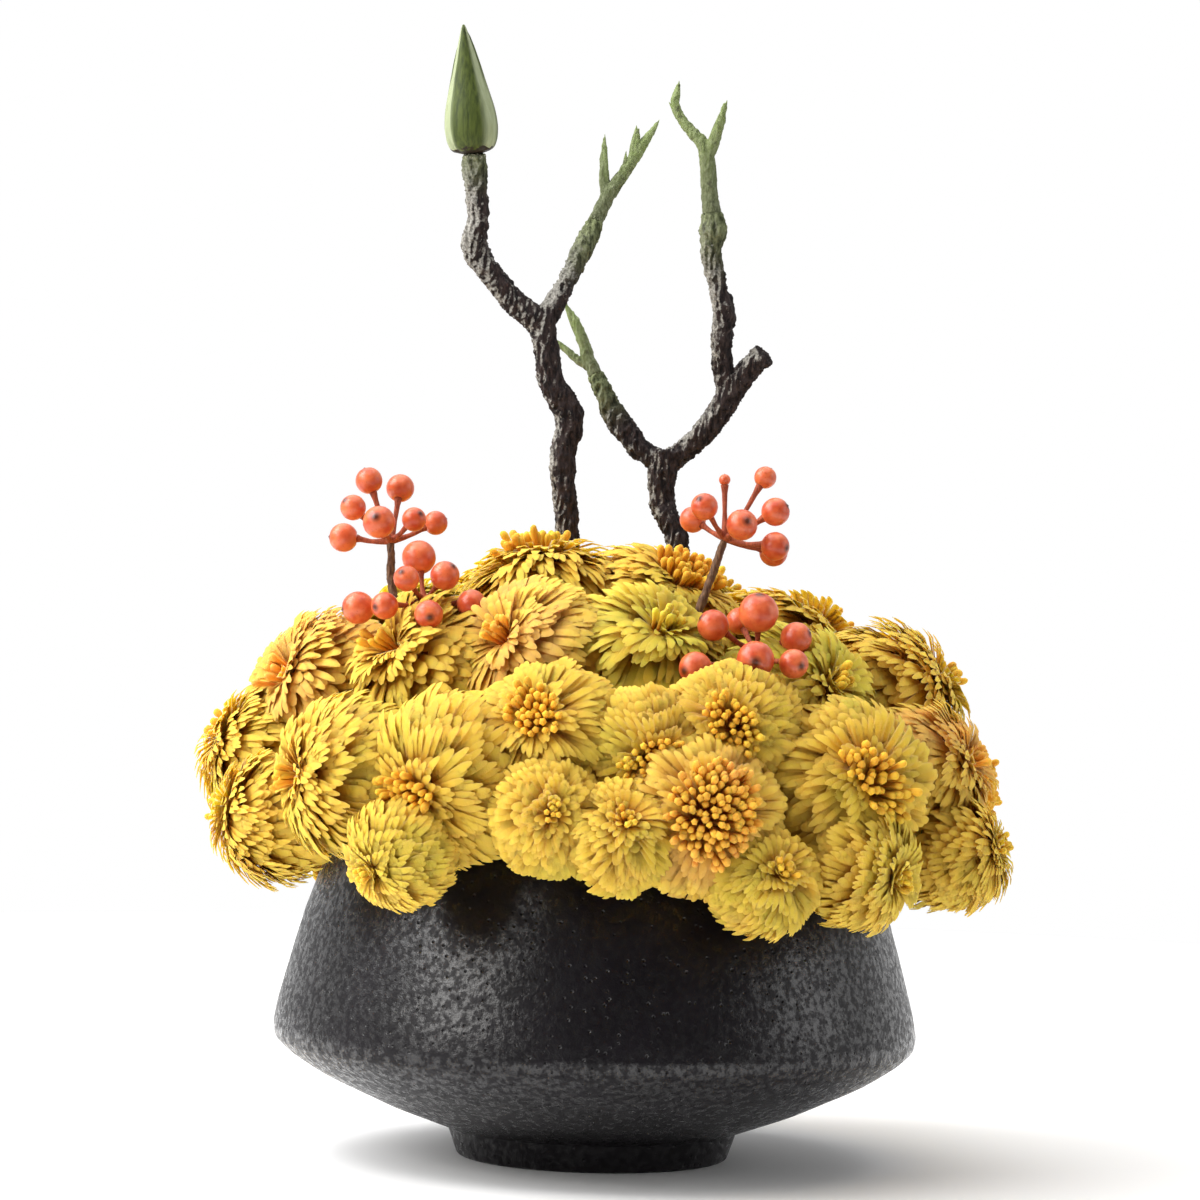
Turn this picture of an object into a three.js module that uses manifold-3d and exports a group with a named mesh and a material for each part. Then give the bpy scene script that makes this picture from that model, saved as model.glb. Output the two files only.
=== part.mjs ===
// An ikebana arrangement: two bare branches, three sprays of berries and a low cushion of fringed
// yellow blooms, all standing in a block of floral foam in a wide, dark, shouldered bowl.
//
// Units are millimetres and +Z is up. The origin is on the table, under the centre of the bowl's foot,
// and the arrangement faces -Y.
import * as THREE from 'three';
import { mergeVertices } from 'three/addons/utils/BufferGeometryUtils.js';
import Module from 'manifold-3d';

const wasm = await Module();
wasm.setup();

// ---------------------------------------------------------------------------------------------
// Driving dimensions
// ---------------------------------------------------------------------------------------------

const GAP = 0.3;                  // clearance left between two pieces that touch

const BOWL = {
  segments: 32,
  recessRadius: 33, recessDepth: 5,             // hollow under the foot
  footInner: 35, footOuter: 40.5, footTop: 43.5, footHeight: 8.5,
  shoulderRadius: 96.5, shoulderHeight: 38,
  rimRadius: 77.5, rimHeight: 96,
  floorRadius: 46, floorHeight: 13.5,
};

const FOAM = { radius: 60, chamfer: 8, top: 122, segments: 28 };
const HOLE = { sides: 8, overrun: 6 };      // stem holes, cut a little past the foam's face

// Blooms: centre x, y, z, radius and colour. The first group faces the viewer and follows the
// arrangement as it is seen; the second closes the cushion behind.
const FRONT_BLOOMS = [
  [-18, -11, 162, 30, 'yellow'],    // top mound
  [14, -10, 159, 30, 'yellow'],
  [-81, -19, 138, 27, 'orange'],    // left flank
  [-98, -15, 118, 25, 'yellow'],
  [-95, -46, 102, 22, 'yellow'],
  [-72, -69, 116, 26, 'yellow'],
  [-49, -42, 144, 28, 'yellow'],    // front, left of the middle
  [-43, -80, 117, 28, 'yellow'],
  [-56, -93, 96, 18, 'yellow'],
  [-20, -51, 149, 27, 'orange'],
  [-15, -80, 129, 25, 'yellow'],
  [-14, -97, 108, 19, 'yellow'],
  [11, -50, 149, 27, 'green'],      // front, right of the middle
  [12, -84, 125, 22, 'yellow'],
  [6, -102, 103, 18, 'yellow'],
  [28, -93, 109, 26, 'orange'],
  [36, -76, 132, 24, 'yellow'],
  [46, -97, 91, 18, 'yellow'],
  [54, -46, 138, 28, 'green'],
  [70, -71, 117, 28, 'yellow'],     // right flank
  [74, -82, 95, 20, 'yellow'],
  [84, -14, 138, 28, 'yellow'],
  [93, -42, 118, 25, 'orange'],
  [104, -56, 97, 18, 'yellow'],
  [99, -20, 97, 21, 'yellow'],
];
const BACK_BLOOMS = [
  [-22, 33, 153, 34, 'yellow'],
  [20, 40, 150, 34, 'yellow'],
  [-54, 12, 143, 32, 'green'],
  [52, 4, 144, 32, 'yellow'],
  [-93, 26, 111, 32, 'yellow'],
  [94, 18, 110, 31, 'yellow'],
  [-58, 52, 127, 34, 'yellow'],
  [58, 48, 127, 34, 'orange'],
  [-2, 72, 131, 34, 'yellow'],
  [-73, 71, 98, 30, 'yellow'],
  [-27, 91, 101, 31, 'orange'],
  [24, 92, 101, 31, 'yellow'],
  [75, 64, 99, 31, 'green'],
];

// A bloom faces away from this point inside the cushion.
const BLOOM_FOCUS = new THREE.Vector3(0, 0, 112);
const BLOOM_SIDES = 14;            // seven petals in each layer
const BLOOM_UNEVEN = 0.06;         // the most that a petal falls short of its layer
// Each ring of a bloom: angle from its face, reach at a petal's tip and in the notch between two
// petals as shares of the bloom's reach there, and whether it is turned by half a petal. The last two
// rings are shares of the bloom's own radius, because its foot keeps its size in a crowd.
const BLOOM_RINGS = [
  { angle: 0, tip: 0.74, notch: 0.74, turned: false },
  { angle: 16, tip: 0.84, notch: 0.66, turned: false },     // crown of club-tipped florets
  { angle: 32, tip: 0.86, notch: 0.7, turned: true },
  { angle: 44, tip: 0.7, notch: 0.66, turned: false },
  { angle: 58, tip: 0.98, notch: 0.82, turned: false },     // first layer of petals
  { angle: 70, tip: 0.74, notch: 0.7, turned: true },
  { angle: 83, tip: 1.0, notch: 0.86, turned: true },       // second layer
  { angle: 96, tip: 0.74, notch: 0.7, turned: false },
  { angle: 110, tip: 0.98, notch: 0.82, turned: false },    // third layer
  { angle: 136, tip: 0.46, notch: 0.38, turned: true },     // sepals
  { angle: 180, tip: 0.38, notch: 0.38, turned: false },
];
const FIRST_FOOT_RING = BLOOM_RINGS.length - 2;
const BLOOM_BASE = BLOOM_RINGS.at(-1).tip;       // where the stem meets the bloom

// Flower stems: each bunch has one stem in the foam, which branches to its blooms.
const STEM = {
  sides: 4, radius: 1.4, mainRadius: 2.1,
  straight: 5,                     // straight length under each bloom
  sectors: 5,                      // bunches around the side of the foam
  innerRadius: 43, innerHeight: 98,
  sideHeight: 109, hubRadius: 68, hubHeight: 113,
};
const TOP_BUNCH = { foot: [1, 8, 92], hub: [1, 8, 133], reach: 46 };

// Branches: [x, y, z, radius] along each limb.
const BRANCH_SIDES = 7;
const TWIG_SIDES = 6;
const LEFT_BRANCH = {
  trunk: [[-10, 6, 84, 3.2], [-10, 6, 128, 3.2], [-12, 8, 186, 3.3], [-14, 8, 210, 3.6], [-12.5, 8, 222, 4.3],
    [-18, 6, 232, 3.7], [-20, 5, 243, 3.6], [-22, 5, 252, 4.2]],
  bark: [
    [[-21, 5, 249, 3.7], [-30, 4, 256, 3.6], [-36, 2, 263, 3.2], [-42, 0, 272, 3.9], [-41, -2, 280, 2.9],
      [-42, -3, 289, 3.2], [-43, -4, 299, 3.6]],
    [[-21, 5, 249, 3.4], [-14, 8, 263, 2.6], [-10, 12, 272, 3.0], [-6, 15, 281, 2.4]],
  ],
  shoots: [
    [[-6, 15, 281, 2.3], [-3, 17, 288, 2.1], [2, 19, 296, 1.9], [7, 21.5, 304, 1.7], [12, 24, 312, 0.5]],
    [[4, 20, 299, 1.5], [5.5, 21, 304, 1.3], [6, 22, 310, 0.5]],
    [[-3, 17, 287, 1.5], [-4, 19, 297, 1.4], [-4, 20, 307, 0.5]],
  ],
};
const RIGHT_BRANCH = {
  trunk: [[18, 14, 84, 2.9], [18, 14, 128, 2.9], [21, 16, 174, 3.0], [21, 16.5, 186, 3.5],
    [16.5, 20, 196, 3.6], [17, 22, 212, 4.4]],
  bark: [
    [[18, 22, 208, 3.6], [10, 23, 212, 3.1], [5, 25, 218, 3.4], [1, 27, 223, 3.5], [-2, 28, 229, 2.7],
      [-5, 29, 235, 2.3]],
    [[16, 22, 208, 3.7], [22, 21, 212, 3.2], [29, 19, 219, 3.4], [35, 17, 228, 3.7], [40, 14.5, 236, 3.4],
      [46, 12, 242, 3.6]],
    [[36, 17, 228, 3.5], [34, 16, 236, 3.0], [33, 14, 246, 3.1], [33.5, 12, 254, 3.2], [31, 10, 263, 2.7],
      [29, 9, 272, 3.0], [29.4, 8, 279, 4.0], [28.8, 8, 284, 3.0]],
  ],
  leftShoots: [
    [[-5, 29, 235, 2.2], [-8, 30, 242, 1.9], [-11, 31, 250, 1.5], [-15, 32, 257, 0.5]],
    [[-6, 29.5, 237, 1.6], [-11, 31, 240, 1.2], [-17, 33, 245, 0.5]],
  ],
  topShoots: [
    [[28.8, 8, 284, 2.8], [28, 8, 290.5, 2.4], [27, 8, 300, 2.4], [26, 8, 304, 2.1], [20, 10, 311, 1.5],
      [17, 11, 317, 1.3], [18, 12, 323, 0.5]],
    [[27, 8, 301, 2.1], [30, 6, 309, 1.7], [32, 4, 317, 0.5]],
  ],
};
// The bud that ends the left branch: its foot, its tip and [share of its length, radius].
const BUD = {
  foot: [-43, -4, 299], tip: [-47, -4, 338],
  profile: [[0, 2.6], [0.05, 6.2], [0.2, 7.6], [0.36, 6.9], [0.56, 4.9], [0.8, 2.7]],
  sides: 12,
};

// Berry sprays: the stem's limbs as [x, y, z, radius], and clusters with a hub and [x, y, z, radius]
// for each berry.
const BERRY = { sides: 7, rings: 5, pedicel: 0.9, pedicelSides: 3, hub: 1.8 };
const SPRAYS = [
  {
    stem: 'left_spray_stem',
    limbs: [
      [[-38, -14, 96, 1.4], [-38, -14, 126, 1.4], [-52, -22, 142, 1.3], [-59, -28, 158, 1.2],
        [-63, -24, 169, 1.2], [-64, -22, 183.5, 1.2]],
      [[-57.5, -26.5, 154, 1.1], [-57, -34, 160, 1.1], [-53, -42, 166.5, 1.1]],
    ],
    clusters: [
      {
        name: 'left_spray_upper_berries', hub: [-64, -22, 183.5],
        berries: [[-71, -20, 201, 4.0], [-62, -12, 199, 4.2], [-75, -30, 193, 3.8], [-78, -22, 184, 4.3],
          [-67, -36, 189, 4.8], [-57, -30, 190, 3.6], [-51, -19, 189, 3.6]],
      },
      {
        name: 'left_spray_lower_berries', hub: [-53, -42, 166.5],
        berries: [[-55, -38, 179, 5.0], [-58, -51, 173, 3.8], [-47, -46, 174, 4.3], [-39, -48, 166, 4.3],
          [-51, -59, 163, 4.2], [-64, -53, 165, 4.0], [-72, -46, 164, 4.8]],
      },
    ],
  },
  {
    stem: 'right_spray_stem',
    limbs: [
      [[20, -26, 96, 1.5], [20, -26, 126, 1.5], [24, -32, 150, 1.6], [27, -32, 164, 1.4],
        [31, -31, 176, 1.2], [34.5, -30, 187, 1.1]],
    ],
    clusters: [
      {
        name: 'right_spray_upper_berries', hub: [34.5, -30, 187],
        berries: [[39, -43, 191, 4.6], [34, -28, 204, 1.7], [46, -26, 205, 3.3], [49, -34, 195, 4.2],
          [49, -39, 185, 4.2], [49, -26, 183, 4.2], [28, -40, 196, 4.0], [25, -24, 192, 3.9]],
      },
    ],
  },
  {
    stem: 'low_spray_stem',
    limbs: [
      [[32, -32, 96, 1.4], [32, -32, 126, 1.4], [38, -44, 142, 1.3], [44, -56, 154.5, 1.2]],
    ],
    clusters: [
      {
        name: 'low_spray_berries', hub: [44, -56, 154.5],
        berries: [[44, -60, 166, 5.8], [31, -60, 162, 4.6], [55, -60, 159, 4.6], [43, -76, 153, 5.4],
          [26, -73, 150, 4.8], [54, -73, 152, 4.3], [39, -46, 163, 4.0]],
      },
    ],
  },
];

// Colours read from the real pieces.
const COLOURS = {
  bowl: 0x1e1a20, foam: 0x3f5a34, bark: 0x3c3230, shoot: 0x6e7d50, bud: 0x5f6e36,
  stem: 0x5c7a3a, sprayStem: 0x644b37, berry: 0xd75f37,
  yellow: 0xe1be46, orange: 0xe69646, green: 0xc8c846,
};

// ---------------------------------------------------------------------------------------------
// Geometry helpers
// ---------------------------------------------------------------------------------------------

const vector = ([x, y, z]) => new THREE.Vector3(x, y, z);

/** Keeps only the positions of a geometry and joins its seams. */
function welded(geometry) {
  geometry.deleteAttribute('normal');
  geometry.deleteAttribute('uv');
  return mergeVertices(geometry, 1e-4);
}

/** Turns a closed geometry into a solid that can be joined and cut. */
function solid(geometry) {
  const closed = welded(geometry);
  return new wasm.Manifold(new wasm.Mesh({
    numProp: 3,
    vertProperties: new Float32Array(closed.attributes.position.array),
    triVerts: new Uint32Array(closed.index.array),
  }));
}

/** Turns a solid back into a geometry. */
function geometryOf(body) {
  const { vertProperties, triVerts } = body.getMesh();
  const geometry = new THREE.BufferGeometry();
  geometry.setAttribute('position', new THREE.BufferAttribute(new Float32Array(vertProperties), 3));
  geometry.setIndex(new THREE.BufferAttribute(new Uint32Array(triVerts), 1));
  return geometry;
}

/** Joins geometries into one solid. */
const joined = (geometries) => geometries.map(solid).reduce((whole, piece) => whole.add(piece));

/** A capped round rod with a ring at each point of [x, y, z, radius], bent from a cylinder. */
function rod(points, sides) {
  const curve = new THREE.CatmullRomCurve3(points.map(vector), false, 'centripetal');
  const spans = points.length - 1;
  const frames = curve.computeFrenetFrames(spans, false);
  const geometry = new THREE.CylinderGeometry(1, 1, 1, sides, spans);
  const { position } = geometry.attributes;
  for (let i = 0; i < position.count; i += 1) {
    const step = Math.round((position.getY(i) + 0.5) * spans);
    const place = vector(points[step]);
    const tangent = curve.getTangent(step / spans);
    const normal = frames.normals[step].clone();
    normal.addScaledVector(tangent, -normal.dot(tangent)).normalize();
    const binormal = new THREE.Vector3().crossVectors(tangent, normal);
    place.addScaledVector(normal, position.getZ(i) * points[step][3]);
    place.addScaledVector(binormal, position.getX(i) * points[step][3]);
    position.setXYZ(i, place.x, place.y, place.z);
  }
  return geometry;
}

/** A closed solid of revolution about Z from [radius, height] points that start and end on the axis. */
function turned(profile, segments) {
  const geometry = new THREE.LatheGeometry(profile.map(([r, z]) => new THREE.Vector2(r, z)), segments);
  return geometry.rotateX(Math.PI / 2);
}

/** Seeded random numbers from 0 to 1, so that every build is alike. */
function seededRandom(seed) {
  let state = seed;
  return () => {
    state = (state + 0x6d2b79f5) | 0;
    let mixed = Math.imul(state ^ (state >>> 15), 1 | state);
    mixed = (mixed + Math.imul(mixed ^ (mixed >>> 7), 61 | mixed)) ^ mixed;
    return ((mixed ^ (mixed >>> 14)) >>> 0) / 4294967296;
  };
}

const group = new THREE.Group();

/** Adds one named piece to the arrangement. */
function addPiece(name, geometry, colour, roughness, metalness = 0) {
  const material = new THREE.MeshStandardMaterial({ color: colour, roughness, metalness });
  const mesh = new THREE.Mesh(welded(geometry), material);
  mesh.name = name;
  group.add(mesh);
}

// ---------------------------------------------------------------------------------------------
// Bowl and foam
// ---------------------------------------------------------------------------------------------

/** The outside of the bowl's wall, from the shoulder to the rim: it is convex all round. */
function wallOutside() {
  const { shoulderRadius, shoulderHeight, rimRadius, rimHeight } = BOWL;
  return [
    [shoulderRadius, shoulderHeight], [shoulderRadius - 0.9, shoulderHeight + 6], [87.8, 73],
    [rimRadius + 2.6, rimHeight - 3.2], [rimRadius + 1, rimHeight - 0.4], [rimRadius, rimHeight],
  ];
}

/** The bowl: a turned foot, a low cone, a rounded shoulder and a wall that leans in to the rim. */
function bowlProfile() {
  const { recessRadius, recessDepth, footInner, footOuter, footTop, footHeight } = BOWL;
  const { shoulderRadius, shoulderHeight, rimRadius, rimHeight, floorRadius, floorHeight } = BOWL;
  const underside = [
    [0, recessDepth], [recessRadius, recessDepth], [footInner, 0], [footOuter, 0],
    [footOuter + 1.6, 1.6], [footTop, footHeight], [62, 15.3], [83, 25], [92, 31],
    [shoulderRadius - 0.8, shoulderHeight - 3.2],
  ];
  const inside = [
    [rimRadius - 1.8, rimHeight - 0.9], [rimRadius - 2.3, rimHeight - 3.4], [82.8, 73],
    [shoulderRadius - 5.2, shoulderHeight + 3], [88, 34], [62, 20.9],
    [floorRadius, floorHeight], [0, floorHeight],
  ];
  return [...underside, ...wallOutside(), ...inside];
}

/** The foam's outline, cut to sit on the bowl's floor. */
function foamProfile() {
  const bottom = BOWL.floorHeight + GAP;
  const { radius, chamfer, top } = FOAM;
  return [[0, bottom], [BOWL.floorRadius - 2, bottom], [radius, bottom + 7.4], [radius, top - chamfer],
    [radius - chamfer, top], [0, top]];
}

// ---------------------------------------------------------------------------------------------
// Blooms
// ---------------------------------------------------------------------------------------------

const blooms = [...FRONT_BLOOMS, ...BACK_BLOOMS].map(([x, y, z, radius, colour], index) => {
  const centre = new THREE.Vector3(x, y, z);
  const face = centre.clone().sub(BLOOM_FOCUS).normalize();
  return { name: `bloom_${String(index + 1).padStart(2, '0')}`, centre, face, radius, colour };
});

/** The point of a rotated convex profile that is nearest to a point outside it. */
function nearestOnTurnedSolid(profile, point) {
  const reach = Math.hypot(point.x, point.y);
  const target = new THREE.Vector2(reach, point.z);
  let best = null;
  for (let i = 0; i + 1 < profile.length; i += 1) {
    const start = new THREE.Vector2(...profile[i]);
    const edge = new THREE.Vector2(...profile[i + 1]).sub(start);
    const along = THREE.MathUtils.clamp(target.clone().sub(start).dot(edge) / edge.lengthSq(), 0, 1);
    const candidate = start.addScaledVector(edge, along);
    if (!best || candidate.distanceTo(target) < best.distanceTo(target)) best = candidate;
  }
  return new THREE.Vector3(point.x / reach * best.x, point.y / reach * best.x, best.y);
}

/** A plane that keeps a bloom's centre on its inner side: unit direction and distance from it. */
function planeTowards(centre, point, clearance) {
  const direction = point.clone().sub(centre);
  const distance = direction.length() - clearance;
  return { direction: direction.normalize(), distance };
}

/** Every plane that bounds a bloom: its neighbours, the stems and berries near it, foam and bowl. */
function boundsOf(bloom, obstacles) {
  const planes = [];
  for (const other of blooms) {
    if (other === bloom) continue;
    const share = bloom.radius / (bloom.radius + other.radius);
    const middle = bloom.centre.clone().lerp(other.centre, share);
    planes.push(planeTowards(bloom.centre, middle, GAP / 2));
  }
  for (const { start, end, radius, owner } of obstacles) {
    if (owner === bloom) continue;
    const segment = new THREE.Line3(start, end);
    const nearest = segment.closestPointToPoint(bloom.centre, true, new THREE.Vector3());
    planes.push(planeTowards(bloom.centre, nearest, radius + GAP));
  }
  const mouth = [...wallOutside(), [0, BOWL.rimHeight]];
  const block = foamProfile().slice(1);
  planes.push(planeTowards(bloom.centre, nearestOnTurnedSolid(mouth, bloom.centre), GAP));
  planes.push(planeTowards(bloom.centre, nearestOnTurnedSolid(block, bloom.centre), GAP));
  return planes.filter(({ distance }) => distance < bloom.radius);
}

/** One bloom: a crown of florets and three layers of petals over its sepals. */
function bloomGeometry(bloom, planes, random) {
  const last = BLOOM_RINGS.length - 1;
  const geometry = welded(new THREE.SphereGeometry(1, BLOOM_SIDES, last));
  const { position } = geometry.attributes;
  const toFace = new THREE.Quaternion().setFromUnitVectors(new THREE.Vector3(0, 1, 0), bloom.face);
  const spin = random() * Math.PI;
  const direction = new THREE.Vector3();
  for (let i = 0; i < position.count; i += 1) {
    direction.fromBufferAttribute(position, i).normalize();
    const ring = Math.round(Math.acos(THREE.MathUtils.clamp(direction.y, -1, 1)) / Math.PI * last);
    const azimuth = Math.atan2(direction.z, direction.x);
    const { angle, tip, notch, turned: isTurned } = BLOOM_RINGS[ring];
    const polar = THREE.MathUtils.degToRad(angle);
    const sample = Math.round(azimuth / (2 * Math.PI) * BLOOM_SIDES) + BLOOM_SIDES;
    const isTip = (sample + (isTurned ? 1 : 0)) % 2 === 0;
    const uneven = ring === 0 || ring === last ? 1 : 1 - BLOOM_UNEVEN * random();
    direction.setFromSphericalCoords(1, polar, Math.PI / 2 - azimuth - spin).applyQuaternion(toFace);
    let limit = bloom.radius;
    for (const { direction: normal, distance } of planes) {
      const slope = direction.dot(normal);
      if (slope > 0) limit = Math.min(limit, distance / slope);
    }
    const share = isTip ? tip : notch;
    const reach = ring < FIRST_FOOT_RING ? limit * share : Math.min(limit, bloom.radius * share);
    direction.multiplyScalar(reach * uneven).add(bloom.centre);
    position.setXYZ(i, direction.x, direction.y, direction.z);
  }
  return geometry;
}

// ---------------------------------------------------------------------------------------------
// Stems of the blooms
// ---------------------------------------------------------------------------------------------

const azimuthOf = ({ x, y }) => Math.atan2(y, x);
const around = (azimuth, radius, height) => [radius * Math.cos(azimuth), radius * Math.sin(azimuth), height];

/** Sorts the blooms into bunches: one on top of the foam and the rest around its side. */
function makeBunches() {
  const isTop = ({ centre }) => Math.hypot(centre.x, centre.y) < TOP_BUNCH.reach;
  const bunches = [{
    name: 'flower_stems_top',
    blooms: blooms.filter(isTop),
    root: [[...TOP_BUNCH.foot, STEM.mainRadius], [...TOP_BUNCH.hub, STEM.mainRadius]],
  }];
  const width = 2 * Math.PI / STEM.sectors;
  for (let sector = 0; sector < STEM.sectors; sector += 1) {
    const own = blooms.filter((bloom) => !isTop(bloom)
      && Math.floor((azimuthOf(bloom.centre) + Math.PI) / width) === sector);
    const azimuth = (sector + 0.5) * width - Math.PI;
    bunches.push({
      name: `flower_stems_${sector + 1}`,
      blooms: own,
      root: [
        [...around(azimuth, STEM.innerRadius, STEM.innerHeight), STEM.mainRadius],
        [...around(azimuth, FOAM.radius, STEM.sideHeight), STEM.mainRadius],
        [...around(azimuth, STEM.hubRadius, STEM.hubHeight), STEM.mainRadius],
      ],
    });
  }
  return bunches;
}

/** The route from a bunch's hub to the foot of one bloom. */
function stemRoute(bunch, bloom) {
  const hub = vector(bunch.root.at(-1));
  const foot = bloom.centre.clone().addScaledVector(bloom.face, -(bloom.radius * BLOOM_BASE + GAP));
  const below = foot.clone().addScaledVector(bloom.face, -STEM.straight);
  return [hub, below, foot].map((point) => [...point.toArray(), STEM.radius]);
}

// ---------------------------------------------------------------------------------------------
// Assembly
// ---------------------------------------------------------------------------------------------

const obstacles = [];              // round rods and balls that the blooms keep clear of

/** Notes a rod's spans, with a little more than their radius, as something to keep clear of. */
function noteRod(points, owner = null) {
  for (let i = 0; i + 1 < points.length; i += 1) {
    const [start, end] = [points[i], points[i + 1]];
    const isLast = i + 2 === points.length;
    obstacles.push({
      start: vector(start), end: vector(end), radius: Math.max(start[3], end[3]) + 0.4,
      owner: isLast ? owner : null,
    });
  }
}

/** Joins the limbs of a branch or stem into one piece. */
function addStem(name, limbs, sides, colour) {
  const body = joined(limbs.map((points) => rod(points, sides)));
  addPiece(name, geometryOf(body), colour, 0.85);
}

/** A plain hole in the foam for the first stretch of a rod, which starts inside it. */
function holeFor([[...inner], [...outer]]) {
  const [start, end] = [vector(inner), vector(outer)];
  const outward = end.clone().sub(start).normalize();
  start.addScaledVector(outward, -GAP);
  end.addScaledVector(outward, HOLE.overrun);
  const radius = Math.max(inner[3], outer[3]) + GAP;
  return rod([[...start.toArray(), radius], [...end.toArray(), radius]], HOLE.sides);
}

function build() {
  const random = seededRandom(20);
  addPiece('bowl', turned(bowlProfile(), BOWL.segments), COLOURS.bowl, 0.8);

  const holes = [];
  for (const [side, branch] of [['left', LEFT_BRANCH], ['right', RIGHT_BRANCH]]) {
    addStem(`branch_${side}`, [branch.trunk, ...branch.bark], BRANCH_SIDES, COLOURS.bark);
    noteRod(branch.trunk);
    holes.push(holeFor(branch.trunk));
  }
  addShoots('branch_left_shoots', LEFT_BRANCH.shoots);
  addShoots('branch_right_side_shoots', RIGHT_BRANCH.leftShoots);
  addShoots('branch_right_top_shoots', RIGHT_BRANCH.topShoots);
  addBud();

  for (const spray of SPRAYS) {
    const limbs = spray.limbs.map((limb) => drawnBack(limb, BERRY.hub + GAP));
    addStem(spray.stem, limbs, TWIG_SIDES, COLOURS.sprayStem);
    limbs.forEach((limb) => noteRod(limb));
    holes.push(holeFor(spray.limbs[0]));
    spray.clusters.forEach(addCluster);
  }

  for (const bunch of makeBunches()) {
    const routes = bunch.blooms.map((bloom) => stemRoute(bunch, bloom));
    addStem(bunch.name, [bunch.root, ...routes], STEM.sides, COLOURS.stem);
    noteRod(bunch.root);
    routes.forEach((route, index) => noteRod(route, bunch.blooms[index]));
    holes.push(holeFor(bunch.root));
  }

  const block = holes.map(solid).reduce((foam, hole) => foam.subtract(hole),
    solid(turned(foamProfile(), FOAM.segments)));
  addPiece('floral_foam', geometryOf(block), COLOURS.foam, 0.95);

  for (const bloom of blooms) {
    const geometry = bloomGeometry(bloom, boundsOf(bloom, obstacles), random);
    addPiece(bloom.name, geometry, COLOURS[bloom.colour], 0.7);
  }
}

/** A limb whose last point is drawn back from the hub that it carries. */
function drawnBack(limb, distance) {
  const [before, hub] = limb.slice(-2).map(vector);
  const end = hub.clone().addScaledVector(before.sub(hub).normalize(), distance);
  return [...limb.slice(0, -1), [...end.toArray(), limb.at(-1)[3]]];
}

/** Green shoots that carry on from a bark limb, a hair's breadth above its end. */
function addShoots(name, limbs) {
  const [first, ...others] = limbs;
  const start = vector(first[0]);
  const along = vector(first[1]).sub(start).normalize();
  const lifted = start.addScaledVector(along, GAP).toArray();
  const main = [[...lifted, first[0][3]], ...first.slice(1)];
  addStem(name, [main, ...others], TWIG_SIDES, COLOURS.shoot);
}

/** The pointed bud, turned from its profile and leaned along its axis. */
function addBud() {
  const foot = vector(BUD.foot);
  const axis = vector(BUD.tip).sub(foot);
  const length = axis.length();
  const profile = BUD.profile.map(([share, radius]) => [radius, share * length]);
  const geometry = turned([[0, 0], ...profile, [0, length]], BUD.sides);
  const lean = new THREE.Quaternion().setFromUnitVectors(new THREE.Vector3(0, 0, 1), axis.normalize());
  const seat = foot.addScaledVector(axis, GAP);
  geometry.applyQuaternion(lean).translate(seat.x, seat.y, seat.z);
  addPiece('branch_left_bud', geometry, COLOURS.bud, 0.6);
}

/** A cluster of berries, each on its own stalk from the hub. */
function addCluster({ name, hub, berries }) {
  const pieces = [ball(hub, BERRY.hub, 6, 4)];
  for (const [x, y, z, radius] of berries) {
    pieces.push(rod([[...hub, BERRY.pedicel], [x, y, z, BERRY.pedicel]], BERRY.pedicelSides));
    pieces.push(ball([x, y, z], radius));
    obstacles.push({ start: vector([x, y, z]), end: vector(hub), radius: BERRY.pedicel + 0.3, owner: null });
    obstacles.push({ start: vector([x, y, z]), end: vector([x, y, z]), radius, owner: null });
  }
  obstacles.push({ start: vector(hub), end: vector(hub), radius: BERRY.hub, owner: null });
  addPiece(name, geometryOf(joined(pieces)), COLOURS.berry, 0.35);
}

/** A small round ball. */
function ball([x, y, z], radius, sides = BERRY.sides, rings = BERRY.rings) {
  return new THREE.SphereGeometry(radius, sides, rings).rotateX(Math.PI / 2).translate(x, y, z);
}

build();

export default group;
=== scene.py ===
"""The looks of an ikebana arrangement: bare branches, berry sprays and a cushion of fringed yellow blooms
in a dark stoneware bowl.

Places and sizes in the tables are millimetres and are turned into metres with MM. +Z is up, the
arrangement faces -Y, and the origin is on the table under the centre of the bowl's foot.
"""
import logging
import math
from collections.abc import Iterator
from contextlib import contextmanager
from dataclasses import dataclass, field
from enum import Enum

import bpy
import numpy as np
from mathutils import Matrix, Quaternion, Vector


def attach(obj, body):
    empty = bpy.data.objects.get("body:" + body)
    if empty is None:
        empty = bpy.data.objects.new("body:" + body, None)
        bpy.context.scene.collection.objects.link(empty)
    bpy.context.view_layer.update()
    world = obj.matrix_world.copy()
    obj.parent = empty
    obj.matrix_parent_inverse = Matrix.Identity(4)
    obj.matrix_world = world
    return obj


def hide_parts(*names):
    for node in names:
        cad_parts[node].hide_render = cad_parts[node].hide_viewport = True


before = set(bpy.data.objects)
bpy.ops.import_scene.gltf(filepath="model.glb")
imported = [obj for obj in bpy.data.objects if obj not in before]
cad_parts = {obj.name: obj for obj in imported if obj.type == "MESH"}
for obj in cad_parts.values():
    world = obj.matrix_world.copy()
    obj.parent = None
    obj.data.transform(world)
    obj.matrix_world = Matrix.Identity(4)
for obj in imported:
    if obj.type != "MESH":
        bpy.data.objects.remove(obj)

logging.basicConfig(level=logging.INFO, format="%(message)s")
LOG = logging.getLogger("ikebana")

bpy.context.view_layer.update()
MM = 0.001
# Nearer than this is as good as touching.
HAIR = 0.01 * MM
BODY = "root"
CREASE = math.radians(80)

Piece = bpy.types.Object
Socket = bpy.types.NodeSocket
Material = bpy.types.Material
Array = np.ndarray
Colour = tuple[float, float, float]
Place = tuple[float, float, float]
# A place and the radius there.
Knot = tuple[float, float, float, float]
Outline = list[tuple[float, float]]


# ---- Bench tools ----

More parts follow.
